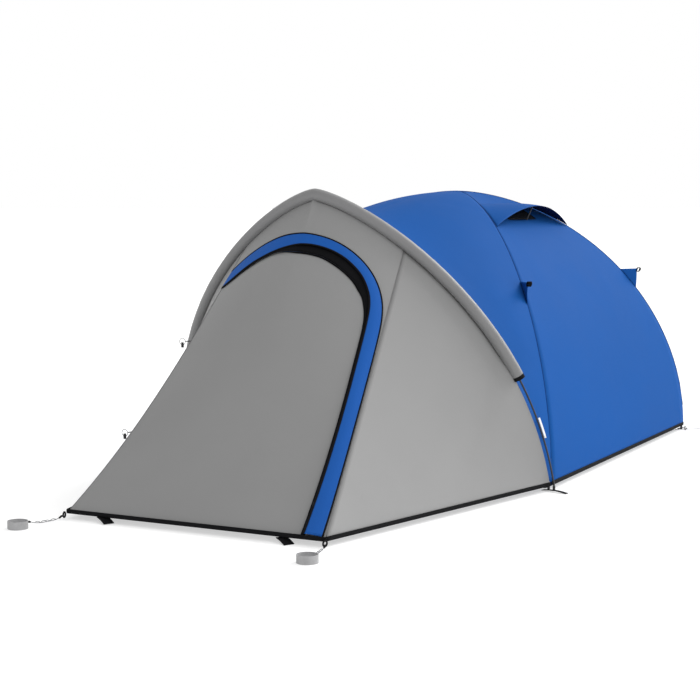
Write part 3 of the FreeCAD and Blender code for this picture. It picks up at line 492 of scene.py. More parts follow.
def grid_data(name, rows, closed=False):
    """Quads through rows of points, with a UV map in metres along the cloth."""
    data = bpy.data.meshes.new(name)
    count = len(rows[0])
    points = [point for row in rows for point in row]
    faces = []
    last = count if closed else count - 1
    for i in range(len(rows) - 1):
        for j in range(last):
            k = (j + 1) % count
            faces.append((i * count + j, i * count + k, (i + 1) * count + k, (i + 1) * count + j))
    data.from_pydata([tuple(point) for point in points], [], faces)
    across = [0.0]
    middle = rows[len(rows) // 2]
    for j in range(1, count + 1):
        across.append(across[-1] + (middle[j % count] - middle[j - 1]).length)
    down = [0.0]
    for i in range(1, len(rows)):
        down.append(down[-1] + (rows[i][count // 2] - rows[i - 1][count // 2]).length)
    layer = data.uv_layers.new(name="cloth")
    for face_index, face in enumerate(data.polygons):
        i = face_index // last
        j = face_index % last
        corners = ((i, j), (i, j + 1), (i + 1, j + 1), (i + 1, j))
        for loop_index, (row, column) in zip(face.loop_indices, corners):
            layer.data[loop_index].uv = (across[column], down[row])
    data.validate()
    return data


def thicken(piece, thickness):
    solid = piece.modifiers.new("thickness", "SOLIDIFY")
    solid.thickness = thickness
    solid.offset = -1.0
    solid.use_even_offset = False


def face_outwards(data):
    """Turns the faces so that they look away from a point inside the tent."""
    flips = 0
    for face in data.polygons:
        if face.normal.dot(face.center - INSIDE) < 0:
            flips += 1
    if flips * 2 > len(data.polygons):
        data.flip_normals()


def cut_faces(data, is_hole):
    """Deletes the faces whose middle lies in a hole."""
    made = bmesh.new()
    made.from_mesh(data)
    holes = [face for face in made.faces if is_hole(face.calc_center_median())]
    bmesh.ops.delete(made, geom=holes, context="FACES")
    made.to_mesh(data)
    made.free()


def close_up(data, sides=0, merge=0.0):
    """Fills open ends of this many sides, merges points this near, and turns all faces one way."""
    made = bmesh.new()
    made.from_mesh(data)
    if sides:
        bmesh.ops.holes_fill(made, edges=[edge for edge in made.edges if edge.is_boundary], sides=sides)
    if merge:
        bmesh.ops.remove_doubles(made, verts=made.verts, dist=merge)
    bmesh.ops.recalc_face_normals(made, faces=made.faces)
    made.to_mesh(data)
    made.free()


def panel(
    name, rows, paint, replaced=(), thickness=CLOTH_THICKNESS, body="shelter", is_hole=None, closed=False,
):
    """Thin panel through rows of points, facing outwards."""
    data = grid_data(name, rows, closed)
    if is_hole:
        cut_faces(data, is_hole)
    face_outwards(data)
    piece = finish_mesh(name, data, paint, body, replaced)
    thicken(piece, thickness)
    return piece


def cloth_piece(name, rows, paint, replaced=(), thickness=CLOTH_THICKNESS, body="shelter", is_hole=None):
    piece = panel(name, rows, paint, replaced, thickness, body, is_hole)
    return piece


def tube_piece(name, path, radius, paint, flat=1.0, sides=10, up=UP, replaced=(), body="shelter"):
    """Tube along a path, its section flattened by flat across the up direction."""
    rows = []
    last_side = None
    for index, point in enumerate(path):
        ahead = path[min(index + 1, len(path) - 1)] - path[max(index - 1, 0)]
        ahead.normalize()
        side = ahead.cross(up)
        if side.length < 1e-4:
            side = last_side or Vector((1.0, 0.0, 0.0))
        side.normalize()
        last_side = side
        top = side.cross(ahead)
        ring = []
        for k in range(sides):
            turn = math.tau * k / sides
            ring.append(point + side * (math.cos(turn) * radius) + top * (math.sin(turn) * radius * flat))
        rows.append(ring)
    data = grid_data(name, rows, closed=True)
    close_up(data, sides)
    return finish_mesh(name, data, paint, body, replaced)


# ---- anchor cords

ANCHOR_ROUTE = [
    (0.699, -2.990, 0.018), (0.703, -3.012, 0.010), (0.707, -3.036, 0.005), (0.713, -3.064, 0.005),
    (0.718, -3.092, 0.005), (0.725, -3.120, 0.006), (0.730, -3.146, 0.009), (0.736, -3.172, 0.016),
    (0.743, -3.204, 0.026),
]
ANCHOR_DIAMETER = 0.0032
KNOT_RADIUS, KNOT_HALF_LENGTH, KNOT_LIFT = 0.0048, 0.009, 0.0022
STRAND_RADIUS, STRAND_ASIDE, STRAND_LIFT, STRAND_RISE = 0.0015, 0.0042, 0.0036, 0.0034
STRAND_RUNS = ((2, 4), (4, 6))
STRAND_TURNS = 1.5


def make_cord_details(side, points):
    """Knots at both ends of an anchor cord and a short twisted strand beside it."""
    body = side + "_anchor"
    pieces = []
    lift = UP * KNOT_LIFT
    for label, start, end in (("near", *points[:2]), ("far", *points[-2:])):
        middle = (start + end) * 0.5
        run = (end - start).normalized() * KNOT_HALF_LENGTH
        path = [middle - run, middle - run * 0.4 + lift * 0.4, middle + run * 0.4 - lift * 0.4, middle + run]
        name = "anchor_knot_%s_%s" % (label, side)
        pieces.append(tube_piece(name, path, KNOT_RADIUS, "black", body=body))
    for part, (first, last) in enumerate(STRAND_RUNS):
        path = []
        for share in shares(25):
            place = first + (last - first) * share
            low = min(int(place), last - 1)
            centre = points[low] + (points[low + 1] - points[low]) * (place - low)
            turn = math.tau * STRAND_TURNS * share
            rise = STRAND_LIFT + STRAND_RISE * math.sin(turn)
            path.append(centre + Vector((STRAND_ASIDE * math.cos(turn), 0.0, rise)))
        pieces.append(tube_piece(
            "anchor_twist_%d_%s" % (part + 1, side), path, STRAND_RADIUS, "cord", body=body,
        ))
    return [piece.name for piece in pieces]


def make_anchor_cords():
    for side, way in SIDES:
        points = [Vector((way * x, y, z)) for x, y, z in ANCHOR_ROUTE]
        curve = bpy.data.curves.new("anchor_line_" + side, "CURVE")
        curve.dimensions = "3D"
        spline = curve.splines.new("NURBS")
        spline.points.add(len(points) - 1)
        for knot, point in zip(spline.points, points):
            knot.co = (*point, 1.0)
        spline.order_u = 3
        spline.use_endpoint_u = True
        curve.bevel_depth = ANCHOR_DIAMETER * 0.5
        curve.bevel_resolution = 4
        curve.resolution_u = 12
        line = bpy.data.objects.new("anchor_line_" + side, curve)
        bpy.context.scene.collection.objects.link(line)
        curve.materials.append(PAINTS["cord"])
        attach(line, side + "_anchor")
        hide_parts("anchor_cord_" + side)
        extras = make_cord_details(side, points)


# ---- outlines on the porch front

# Points as x and z, in millimetres.
DOOR_EDGE = [
    (-560, 996), (-500, 1026), (-453, 1051), (-392, 1090), (-336, 1128), (-278, 1162), (-212, 1194),
    (-153, 1217), (-87, 1231), (-23, 1234), (34, 1231), (88, 1222), (140, 1207), (196, 1179), (252, 1144),
    (311, 1097), (353, 1050), (388, 1004), (427, 905), (459, 710), (500, 453), (540, 205), (578, -30),
]
FLAP_INNER = [
    (-560, 1000), (-500, 1031), (-453, 1059), (-392, 1102), (-336, 1141), (-278, 1176), (-212, 1207),
    (-151, 1232), (-90, 1251), (-30, 1262), (27, 1264), (79, 1259), (131, 1247), (183, 1228), (239, 1198),
    (295, 1156), (344, 1108), (384, 1052), (411, 1000), (433, 920), (466, 710), (507, 453), (547, 205),
    (584, -30),
]
FLAP_OUTER = [
    (-560, 1046), (-500, 1097), (-444, 1143), (-412, 1169), (-328, 1223), (-258, 1259), (-194, 1287),
    (-128, 1308), (-63, 1319), (0, 1321), (54, 1316), (108, 1304), (159, 1288), (212, 1265), (266, 1232),
    (322, 1188), (381, 1130), (426, 1074), (463, 1003), (493, 925), (548, 710), (599, 453), (642, 205),
    (686, -30),
]


def curve_through(points, steps):
    """Smooth curve through plan points."""
    first = (2 * points[0][0] - points[1][0], 2 * points[0][1] - points[1][1])
    last = (2 * points[-1][0] - points[-2][0], 2 * points[-1][1] - points[-2][1])
    ends = [first, *points, last]
    curve = []
    for index in range(len(points) - 1):
        a, b, c, d = ends[index:index + 4]
        for step in range(steps):
            t = step / steps
            curve.append(tuple(
                0.5 * (2 * b[k] + (c[k] - a[k]) * t + (2 * a[k] - 5 * b[k] + 4 * c[k] - d[k]) * t * t
                       + (3 * b[k] - a[k] - 3 * c[k] + d[k]) * t ** 3)
                for k in (0, 1)
            ))
    return [*curve, points[-1]]


def face_place(x, z):
    """Across and down of the porch front's point with this x and z."""
    across, down = x / 0.6, 1.0 - z / 1.3  # a first guess
    step = 1e-4
    for _ in range(14):
        here = front_point(across, down)
        by_across = (front_point(across + step, down) - here) / step
        by_down = (front_point(across, down + step) - here) / step
        miss_x, miss_z = x - here.x, z - here.z
        d = by_across.x * by_down.z - by_down.x * by_across.z
        across += (miss_x * by_down.z - by_down.x * miss_z) / d
        down += (by_across.x * miss_z - miss_x * by_across.z) / d
    return across, down


def polar_table(outline):
    """Distance from the door's lower hinge corner against direction, on the across and down plane."""
    table = []
    for x, z in curve_through([(x / 1000, z / 1000) for x, z in outline], 6):
        across, down = face_place(x, z)
        p, q = (across + 1.0) * 0.5, 1.0 - down
        table.append((math.atan2(q, p), math.hypot(p, q)))
    table.sort()
    return table


def reach_at(table, turn):
    for (low, low_reach), (high, high_reach) in zip(table, table[1:]):
        if low <= turn <= high:
            share = (turn - low) / (high - low) if high > low else 0.0
            return low_reach + (high_reach - low_reach) * share
    return table[0][1] if turn < table[0][0] else table[-1][1]


def rim_reach(turn):
    """Distance to the porch front's own border, straight across or up."""
    limit = 1e9
    if math.cos(turn) > 1e-6:
        limit = min(limit, 1.0 / math.cos(turn))
    if math.sin(turn) > 1e-6:
        limit = min(limit, 1.0 / math.sin(turn))
    return limit


def face_from_polar(turn, reach, depth=0.0):
    across = 2.0 * reach * math.cos(turn) - 1.0
    down = 1.0 - reach * math.sin(turn)
    return front_point(across, down, depth)


DOOR_TABLE = polar_table(DOOR_EDGE)
FLAP_TABLE = polar_table(FLAP_INNER)
FLAP_OUTER_TABLE = polar_table(FLAP_OUTER)
TURNS = spread(0.0, math.pi / 2.0, 121)
FLAP_AVERAGE = (-0.05, -0.025, 0.0, 0.025, 0.05)
FLAP_SOFTNESS = 110.0
FLAP_BORDER = 0.994


def flap_width_at(turn):
    """Inner and outer reach of the rain flap, rounded off where it meets the porch front's border."""
    inner, limit = reach_at(FLAP_TABLE, turn), FLAP_BORDER * rim_reach(turn)
    outer = sum(reach_at(FLAP_OUTER_TABLE, turn + step) for step in FLAP_AVERAGE) / 5.0
    soft = -math.log(math.exp(-FLAP_SOFTNESS * outer) + math.exp(-FLAP_SOFTNESS * limit)) / FLAP_SOFTNESS
    return inner, soft


def tip_turn():
    """Direction in which the flap runs out to a point against the sleeve."""
    low, high = 1.0, math.pi / 2.0
    for _ in range(40):
        middle = 0.5 * (low + high)
        inner, outer = flap_width_at(middle)
        low, high = (middle, high) if outer > inner else (low, middle)
    return low


FLAP_TURNS = spread(0.010, tip_turn() - 0.002, 161)


# ---- cloth

HINGE_FOOT = Vector((-0.687, -2.971, 0.030))
HINGE_HEAD = Vector((-0.51256, -2.02927, 0.91752))
CABIN_SLACK = 0.010
VENT_LOW, VENT_HIGH, VENT_HALF = 0.32, 0.40, 0.21
NET_DEPTH, NET_LAP, NET_REACH, NET_THICKNESS = 0.0045, 0.004, 1.04, 0.0005


def blend_at_hinge(piece):
    """Bakes the piece's placement into its points; the hinge's axis and the direction across it are worked
    out but not used.
    """
    axis = (HINGE_HEAD - HINGE_FOOT).normalized()
    across = Vector((1.0, 0.0, 0.0))
    across = (across - axis * across.dot(axis)).normalized()
    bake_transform(piece)


def side_columns(reach):
    """Shares across a cabin side, with fixed columns along both sides of the vent window."""
    edge = min(VENT_HALF / (max(reach, 0.01) * HALF_LENGTH), 0.85)
    return spread(-1.0, -edge, 15)[:-1] + spread(-edge, edge, 15) + spread(edge, 1.0, 15)[1:]


def in_window(middle):
    low, high = VENT_LOW * HALF_WIDTH - 0.004, VENT_HIGH * HALF_WIDTH - 0.001
    return low < abs(middle.x) < high and abs(middle.y) < VENT_HALF


def cabin_slack(across, reach):
    return CABIN_SLACK * (1.0 - across * across) * math.sin(math.pi * min(reach * 1.02, 1.0))


def make_cabin_cloth():
    angles = spread(math.asin(CROWN_REACH), math.pi / 2.0, 61)
    reaches = sorted([math.sin(value) for value in angles] + [VENT_LOW, VENT_HIGH])
    for side, way in SIDES:
        rows = dome_rows(side, reaches, side_columns, cabin_slack)
        cloth_piece("cabin_side_" + side, rows, "blue", ["fly_side_" + side], is_hole=in_window)
        net = []
        for reach in spread(VENT_LOW - NET_LAP, VENT_HIGH + NET_LAP, 9):
            places = [v * VENT_HALF / (reach * HALF_LENGTH) for v in spread(-NET_REACH, NET_REACH, 21)]
            net.append([dome_point(way, place, reach, NET_DEPTH) for place in places])
        cloth_piece("vent_net_" + side, net, "net", ["vent_mesh_" + side], NET_THICKNESS)
    rows = dome_rows("rear", reaches, lambda reach: spread(-1.0, 1.0, 49), cabin_slack)
    cloth_piece("cabin_rear", rows, "blue", ["fly_rear"])


def make_span_cloth():
    alongs = spread(-1.0, 1.0, 121)
    rows = [[span_point(along, forward) for along in alongs] for forward in shares(49)]
    cloth_piece("cabin_front_span", rows, "blue", ["fly_front_right", "fly_front_left"])


def door_edge(turn):
    return reach_at(DOOR_TABLE, turn)


DOOR_GAP = 0.0012
DOOR_CORNER = 0.004


def make_porch_cloth():
    door_rows = []
    for share in shares(61):
        door_rows.append([face_from_polar(t, max(share, DOOR_CORNER) * door_edge(t)) for t in TURNS])
    blend_at_hinge(cloth_piece("porch_door_leaf", door_rows, "grey", ["front_door"], body=None))
    frame_rows = []
    for share in shares(25):
        row = []
        for t in TURNS:
            low = door_edge(t) + DOOR_GAP
            row.append(face_from_polar(t, low + (rim_reach(t) - low) * share))
        frame_rows.append(row)
    cloth_piece("porch_face", frame_rows, "grey", ["porch_front"])
    rows = [[side_point(along, down) for along in shares(49)] for down in shares(49)]
    cloth_piece("porch_side_right_cloth", rows, "grey", ["porch_side_right"])
    rows = [[mirrored(point) for point in row] for row in rows]
    cloth_piece("porch_side_left_cloth", rows, "grey", ["porch_side_left"])


# How far the flap stands off: inner edge, more on its straight run, outer edge, and its arching.
FLAP_STAND, FLAP_STRAIGHT_STAND, FLAP_OUTER_STAND, FLAP_ARCHING = 0.010, 0.006, 0.0035, 0.004
# Turns between which the straight run ends, and between which the flap settles towards its tip.
FLAP_BEND, FLAP_SETTLE, FLAP_SETTLING = (0.45, 0.65), (0.95, 1.2), 0.7
BINDING_RADIUS, BINDING_FLAT = 0.0048, 0.45


def make_flap():
    """Blue rain flap over the door's zip, bound in black along both edges."""
    rows = []
    for share in shares(9):
        row = []
        for t in FLAP_TURNS:
            low, high = flap_width_at(t)
            clear = FLAP_STAND + FLAP_STRAIGHT_STAND * (1.0 - smooth(t, *FLAP_BEND))
            stand = clear * (1.0 - share) + FLAP_OUTER_STAND + FLAP_ARCHING * math.sin(math.pi * share)
            stand = -stand * (1.0 - FLAP_SETTLING * smooth(t, *FLAP_SETTLE))
            row.append(face_from_polar(t, low + (high - low) * share, stand))
        rows.append(row)
    cloth_piece("rain_flap", rows, "blue_trim", ["door_rain_flap"])
    for name, row in (("flap_binding_inner", rows[0]), ("flap_binding_outer", rows[-1])):
        tube_piece(name, row, BINDING_RADIUS, "black", BINDING_FLAT, up=PORCH_UP)


ZIP_TAPE_THICKNESS = 0.0008
# Distances from the door's edge, as shares of the porch front's plane, and lifts off the cloth in metres.
DOOR_TAPE_NEAR, DOOR_TAPE_FAR, DOOR_TAPE_WIDE, DOOR_TAPE_LIFT = 0.0012, 0.0016, 0.005, 0.0022
DOOR_TAPE_FADE = (1.0, 1.2)
# The frame tape reaches past the flap's inner edge, so its black is zip tape and painted shadow under the
# flap.
FRAME_TAPE_NEAR, FRAME_TAPE_SHADOW_LAP, FRAME_TAPE_LIFT = 0.0008, 0.004, 0.0024
COIL_PLACE, COIL_LIFT, COIL_RADIUS = 0.0006, 0.0042, 0.0030


def zip_ribbon(name, low_at, high_at, lift, body, node):
    rows = []
    for share in shares(5):
        rows.append([
            face_from_polar(t, low_at(t) + (high_at(t) - low_at(t)) * share, -lift) for t in FLAP_TURNS
        ])
    return panel(name, rows, "zip", [node], ZIP_TAPE_THICKNESS, body)


def make_zip():
    """Zip tapes either side of the door's free edge, and the coil between them; the frame's tape runs on up
    past the rain flap's inner edge as painted shadow under the flap.
    """
    def door_tape_low(t):
        return door_edge(t) - DOOR_TAPE_WIDE * (1.0 - smooth(t, *DOOR_TAPE_FADE)) - DOOR_TAPE_FAR

    blend_at_hinge(zip_ribbon(
        "door_zip_web", door_tape_low, lambda t: door_edge(t) - DOOR_TAPE_NEAR, DOOR_TAPE_LIFT, None,
        "door_zip_tape",
    ))
    # From the door's edge up past the flap's inner edge: zip tape, then black painted shadow under the flap.
    zip_ribbon(
        "frame_zip_web_and_flap_shadow", lambda t: door_edge(t) + FRAME_TAPE_NEAR,
        lambda t: reach_at(FLAP_TABLE, t) + FRAME_TAPE_SHADOW_LAP, FRAME_TAPE_LIFT, "shelter", "frame_zip_tape",
    )
    coil = [face_from_polar(t, door_edge(t) + COIL_PLACE, -COIL_LIFT) for t in FLAP_TURNS]
    tube_piece("door_zip_coil", coil, COIL_RADIUS, "zip", 0.6, 8, PORCH_UP)


# ---- sleeve

SLEEVE_SIDES = 24
SLEEVE_RIPPLE = 0.0012
SLEEVE_THICKNESS = 0.0016
TRIM_HALF_TURN, TRIM_OUT, TRIM_THICKNESS = 0.35, 0.0006, 0.0026


def sleeve_rings(low, high, count, radius):
    """Faintly rippled rings of cloth round the porch pole."""
    rows = []
    for angle in spread(low, high, count):
        point = arch_point(angle)
        heading = (arch_point(angle + 0.4) - arch_point(angle - 0.4)).normalized()
        aside = Vector((0.0, 1.0, 0.0))
        aside = (aside - heading * aside.dot(heading)).normalized()
        out = aside.cross(heading)
        ring = []
        for k in range(SLEEVE_SIDES):
            turn = math.tau * k / SLEEVE_SIDES
            way = aside * math.cos(turn) + out * math.sin(turn)
            place = Vector((angle * 0.9, 3.0 * math.cos(turn), 3.0 * math.sin(turn)))
            ring.append(point + way * (radius + SLEEVE_RIPPLE * noise.noise(place)))
        rows.append(ring)
    return rows


def sewn_tube(name, rows, paint, replaced, thickness):
    data = grid_data(name, rows, closed=True)
    close_up(data)
    piece = finish_mesh(name, data, paint, replaced=replaced)
    thicken(piece, thickness)


def make_sleeve():
    low, high = SLEEVE_END, 180.0 - SLEEVE_END
    rings = sleeve_rings(low, high, 181, SLEEVE_RADIUS)
    sewn_tube("sleeve_cloth", rings, "sleeve", ["porch_pole_sleeve"], SLEEVE_THICKNESS)
    for side, end, nodes in (("right", low, ["sleeve_end_trims"]), ("left", high, [])):
        rings = sleeve_rings(end - TRIM_HALF_TURN, end + TRIM_HALF_TURN, 3, SLEEVE_RADIUS + TRIM_OUT)
        sewn_tube("sleeve_trim_" + side, rings, "black", nodes, TRIM_THICKNESS)


# ---- hems

HEM_BELOW, HEM_ABOVE, HEM_OUT, HEM_STEP = 0.003, 0.018, 0.0012, 0.04
HEM_BULGE, HEM_WAVE, HEM_THICKNESS = 0.0016, 0.0010, 0.0022


def hem_strip(name, corners, outward, node=None, body="shelter"):
    """Black binding over the cloth's lower edge, slightly wavy."""
    low, high = HEM - HEM_BELOW, HEM + HEM_ABOVE
    path = []
    for start, end in zip(corners, corners[1:]):
        steps = max(int((end - start).length / HEM_STEP), 2)
        for k in range(steps):
            path.append(start + (end - start) * (k / steps))
    path.append(corners[-1])
    rows = []
    for share in shares(6):
        row = []
        for point in path:
            wave = HEM_WAVE * noise.noise(Vector((point.x * 9.0, point.y * 9.0, share * 2.0)))
            bulge = HEM_BULGE * math.sin(math.pi * share) + wave
            row.append(Vector((point.x, point.y, low + (high - low) * share)) + outward * (HEM_OUT + bulge))
        rows.append(row)
    return panel(name, rows, "black", [node] if node else (), HEM_THICKNESS, body)


def make_hems():
    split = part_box("door_hem_tape")[1].x + 0.006
    left, right, foot = mirrored(PORCH_CORNER), PORCH_CORNER, PORCH_FOOT
    forward = Vector((0.0, -1.0, 0.0))
    door_end = Vector((split - 0.0012, PORCH_FRONT, HEM))
    jamb_start = Vector((split - 0.0004, PORCH_FRONT, HEM))
    blend_at_hinge(hem_strip("door_hem", [left, door_end], forward, "door_hem_tape", None))
    hem_strip("porch_hem_jamb", [jamb_start, right], forward, "porch_hem_tape")
    run = (foot - right).normalized()
    aside = Vector((run.y, -run.x, 0.0))
    hem_strip("porch_hem_right", [right, foot], aside)
    hem_strip("porch_hem_left", [left, mirrored(foot)], mirrored(aside))
    places = ((1, -1), (1, 1), (-1, -1), (-1, 1))
    corners = [Vector((x * HALF_WIDTH, y * HALF_LENGTH, HEM)) for x, y in places]
    hem_strip("cabin_hem_right", corners[:2], Vector((1.0, 0.0, 0.0)), "cabin_hem_tape")
    hem_strip("cabin_hem_left", corners[2:], Vector((-1.0, 0.0, 0.0)))
    hem_strip("cabin_hem_rear", [corners[3], corners[1]], Vector((0.0, 1.0, 0.0)))


# ---- vents

PATCH_HALF_X, PATCH_HALF_Y, PATCH_LIFT = 0.066, 0.074, 0.0016
SLEEVE_TOP_Y, SPAN_FALL = 1.763, 0.055
HOOD_BACK, HOOD_FRONT, HOOD_SKEW, HOOD_RISE = 0.27, 0.455, 0.016, 0.121
HOOD_ENDS = (-0.995, 0.975)
HOOD_THICKNESS = 0.0022


def roof_height(x, y):
    """Height of the cabin roof near its crown."""
    reach = max(abs(x) / HALF_WIDTH, abs(y) / HALF_LENGTH)
    pole_y = abs(x) / HALF_WIDTH * HALF_LENGTH
    if -y <= pole_y:
        return dome_height(reach)
    forward = (-y - pole_y) / (SLEEVE_TOP_Y - pole_y)
    fall = SPAN_FALL * forward + span_dip(forward)
    return dome_height(abs(x) / HALF_WIDTH) - fall


def make_crown_patch():
    rows = []
    for share in spread(0.02, 1.0, 12):
        row = []
        for turn in spread(0.0, math.tau, 49)[:-1]:
            x = PATCH_HALF_X * share * math.cos(turn)
            y = PATCH_HALF_Y * share * math.sin(turn)
            row.append(Vector((x, y, roof_height(x, y) + PATCH_LIFT)))
        rows.append(row)
    piece = panel("crown_patch", rows, "blue", ["fly_crown_patch"], closed=True)


def hood_point(way, out, across):
    """Stiffened brim over a vent: sewn to the roof at its back and ends, proud in the middle."""
    reach = HOOD_BACK + (HOOD_FRONT - HOOD_BACK) * out + HOOD_SKEW * out * max(across, 0.0) ** 3
    foot = dome_point(way, 0.99 * across, reach, -0.0015)
    return foot + Vector((0.30 * way, 0.0, 0.954)) * (HOOD_RISE * (1.0 - across * across) ** 0.9 * out)


def make_hoods():
    for side, way in SIDES:
        acrosses = spread(*HOOD_ENDS, 61)
        rows = [[hood_point(way, out, across) for across in acrosses] for out in shares(17)]
        piece = panel("vent_hood_cloth_" + side, rows, "blue", ["vent_hood_" + side], HOOD_THICKNESS)
        # The hood's underside and rim are painted dark navy as painted shade under the brim.
        piece.data.materials.append(PAINTS["hood_shade"])
        piece.modifiers["thickness"].material_offset = 1
        piece.modifiers["thickness"].material_offset_rim = 1


# ---- inner cabin

INNER_DEPTH, INNER_SAG, INNER_THICKNESS, INNER_NET_THICKNESS = 0.045, 0.014, 0.0008, 0.0006
EAVES = 0.50
WALL_FOOT = 0.045
DOOR_SILL, DOOR_SHOULDER, DOOR_TOP, DOOR_HALF = 0.150, 0.650, 1.060, 0.420
LEAF_GAP, LEAF_TOP_GAP, INNER_COIL_RADIUS = 0.003, 0.004, 0.0040


def make_inner_cabin():
    walls = [math.sin(value) for value in spread(math.asin(EAVES), math.pi / 2.0 - 0.004, 41)]
    roof = [math.sin(value) for value in spread(math.asin(CROWN_REACH), math.asin(EAVES), 25)]
    for side in ("right", "left", "rear"):
        rows = dome_rows(
            side, walls, lambda reach: spread(-1.0, 1.0, 41),
            lambda across, reach: INNER_DEPTH + INNER_SAG * (1.0 - across * across),
        )
        cloth_piece("inner_cloth_" + side, rows, "inner", ["inner_wall_" + side], INNER_THICKNESS)
    for side in QUARTERS:
        rows = dome_rows(side, roof, lambda reach: spread(-1.0, 1.0, 25), lambda across, reach: INNER_DEPTH)
        nodes = ["inner_roof_mesh"] if side == "right" else []
        cloth_piece("inner_net_" + side, rows, "net", nodes, INNER_NET_THICKNESS)


def inner_reach(z):
    """Reach at which the inner cabin's wall stands at this height."""
    share = (z - HEM) / (DOME_RISE - INNER_DEPTH)
    return (1.0 - share ** (1.0 / DOME_ROOT)) ** (1.0 / DOME_POWER)


def inner_front(x, z, depth=INNER_DEPTH):
    reach = inner_reach(z)
    return dome_point(x / (reach * (HALF_WIDTH - depth)), -1, reach, depth)


def doorway_half(z):
    if z <= DOOR_SHOULDER:
        return DOOR_HALF
    rise = (z - DOOR_SHOULDER) / (DOOR_TOP - DOOR_SHOULDER)
    return DOOR_HALF * math.sqrt(max(1.0 - rise * rise, 0.0))


def make_inner_front():
    """Front wall with its doorway, and the door leaf that folds down from the sill."""
    top = dome_height(EAVES, INNER_DEPTH)
    jamb = spread(DOOR_SILL, DOOR_SHOULDER, 17)[:-1]
    arch = [DOOR_SHOULDER + (DOOR_TOP - DOOR_SHOULDER) * math.sin(v) for v in spread(0.0, math.pi / 2.0, 25)]
    heights = spread(WALL_FOOT, DOOR_SILL, 7)[:-1] + jamb + arch + spread(DOOR_TOP, top, 9)[1:]
    rows = []
    for z in heights:
        reach = inner_reach(z)
        wide = reach * (HALF_WIDTH - INNER_DEPTH)
        half = max(doorway_half(z), 0.02)
        stations = spread(-wide, -half, 13)[:-1] + spread(-half, half, 17) + spread(half, wide, 13)[1:]
        rows.append([inner_front(x, z) for x in stations])
    cloth_piece(
        "inner_cloth_front", rows, "inner", ["inner_wall_front"], INNER_THICKNESS,
        is_hole=lambda middle: DOOR_SILL < middle.z < DOOR_TOP and abs(middle.x) < doorway_half(middle.z),
    )
    leaf = []
    for z in [DOOR_SILL + 0.002] + jamb[1:] + arch[:-1]:
        if z > DOOR_TOP - LEAF_TOP_GAP or (leaf and z <= leaf[-1][0].z + 1e-4):
            continue
        half = max(doorway_half(z) - LEAF_GAP, 0.004)
        leaf.append([inner_front(x, z) for x in spread(-half, half, 25)])
    cloth_piece("inner_door_leaf", leaf, "inner", ["inner_door"], INNER_THICKNESS, "cabin_door")
    edge = [(-doorway_half(z), z) for z in heights if DOOR_SILL <= z <= DOOR_TOP]
    edge += [(-x, z) for x, z in edge[-2::-1]]
    path = [inner_front(x * 1.008, z + 0.003 * (z > DOOR_SHOULDER), INNER_DEPTH - 0.002) for x, z in edge]
    wall_up = Vector((0.0, -1.0, 0.3))
    tube_piece("inner_zip_coil", path, INNER_COIL_RADIUS, "zip", 0.5, 8, wall_up, ["inner_door_zip"])


FLOOR_HALF_X, FLOOR_HALF_Y = 1.036, 1.194
FLOOR_RIM, FLOOR_LIFT, FLOOR_RIPPLE, FLOOR_THICKNESS = 0.0295, 0.0026, 0.0035, 0.0018
FLOOR_FLAT_EDGE = 0.12


def make_groundsheet():
    """Sewn-in floor with a shallow tray rim."""
    along = [-FLOOR_HALF_X, *spread(-FLOOR_HALF_X, FLOOR_HALF_X, 45), FLOOR_HALF_X]
    aside = [-FLOOR_HALF_Y, *spread(-FLOOR_HALF_Y, FLOOR_HALF_Y, 49), FLOOR_HALF_Y]
    rows = []
    for i, y in enumerate(aside):
        row = []
        for j, x in enumerate(along):
            rim = i in (0, len(aside) - 1) or j in (0, len(along) - 1)
            edge = min(FLOOR_HALF_X - abs(x), FLOOR_HALF_Y - abs(y))
            ripple = FLOOR_RIPPLE * abs(noise.noise(Vector((x * 4.0, y * 4.0, 0.0))))
            ripple *= smooth(edge, 0.0, FLOOR_FLAT_EDGE)
            row.append(Vector((x, y, FLOOR_RIM if rim else FLOOR_LIFT + ripple)))
        rows.append(row)
    data = grid_data("groundsheet_tray", rows)
    piece = finish_mesh("groundsheet_tray", data, "floor", replaced=["groundsheet"])
    thicken(piece, FLOOR_THICKNESS)


# ---- small sewn parts

CORNERS = (("front_right", 1, -1), ("front_left", -1, -1), ("rear_right", 1, 1), ("rear_left", -1, 1))
LOOP_STEPS, LOOP_SIDES = 36, 10
# Reach at the tab's top and foot, how far it stands out, its curl, and the tape of its loop.
TAB_TOP, TAB_FOOT, TAB_OUT, TAB_CURL, TAB_THICKNESS = 0.701, 0.772, 0.004, 0.004, 0.0014
RING_OUT, RING_HALF_WIDTH, RING_HALF_HEIGHT, RING_TAPE, RING_THICKNESS = 0.012, 0.013, 0.012, 0.022, 0.0016
STRAP_WIDTH, STRAP_RISE, STRAP_THICKNESS = 0.025, 0.006, 0.0026
PEG_TAB_WIDTH, PEG_TAB_RISE, PEG_TAB_THICKNESS = 0.052, 0.003, 0.0032
# Ends of the right-hand corner straps, and x of both front tabs' ends.
STRAPS = (
    ((1.040, -1.250, 0.0012), (1.186, -1.295, 0.0014)),
    ((1.052, 1.222, 0.0012), (1.104, 1.252, 0.0014)),
)
PEG_TABS = ((-0.500, -0.434), (0.458, 0.520))
# Place, share of the way down the left ridge, and the point where the toggle hangs.
TIE_PIVOTS = (
    ("upper", 0.36, (-0.57516, -2.14196, 0.75753)),
    ("lower", 0.70, (-0.64422, -2.55660, 0.34005)),
)
TAG_WIDTH, TAG_THICKNESS, TAG_ANGLES = 0.018, 0.0010, (8.5, 12.5)


def first_only(index, node):
    """The CAD node that a group of pieces replaces, given to the first of them."""
    return [node] if index == 0 else []


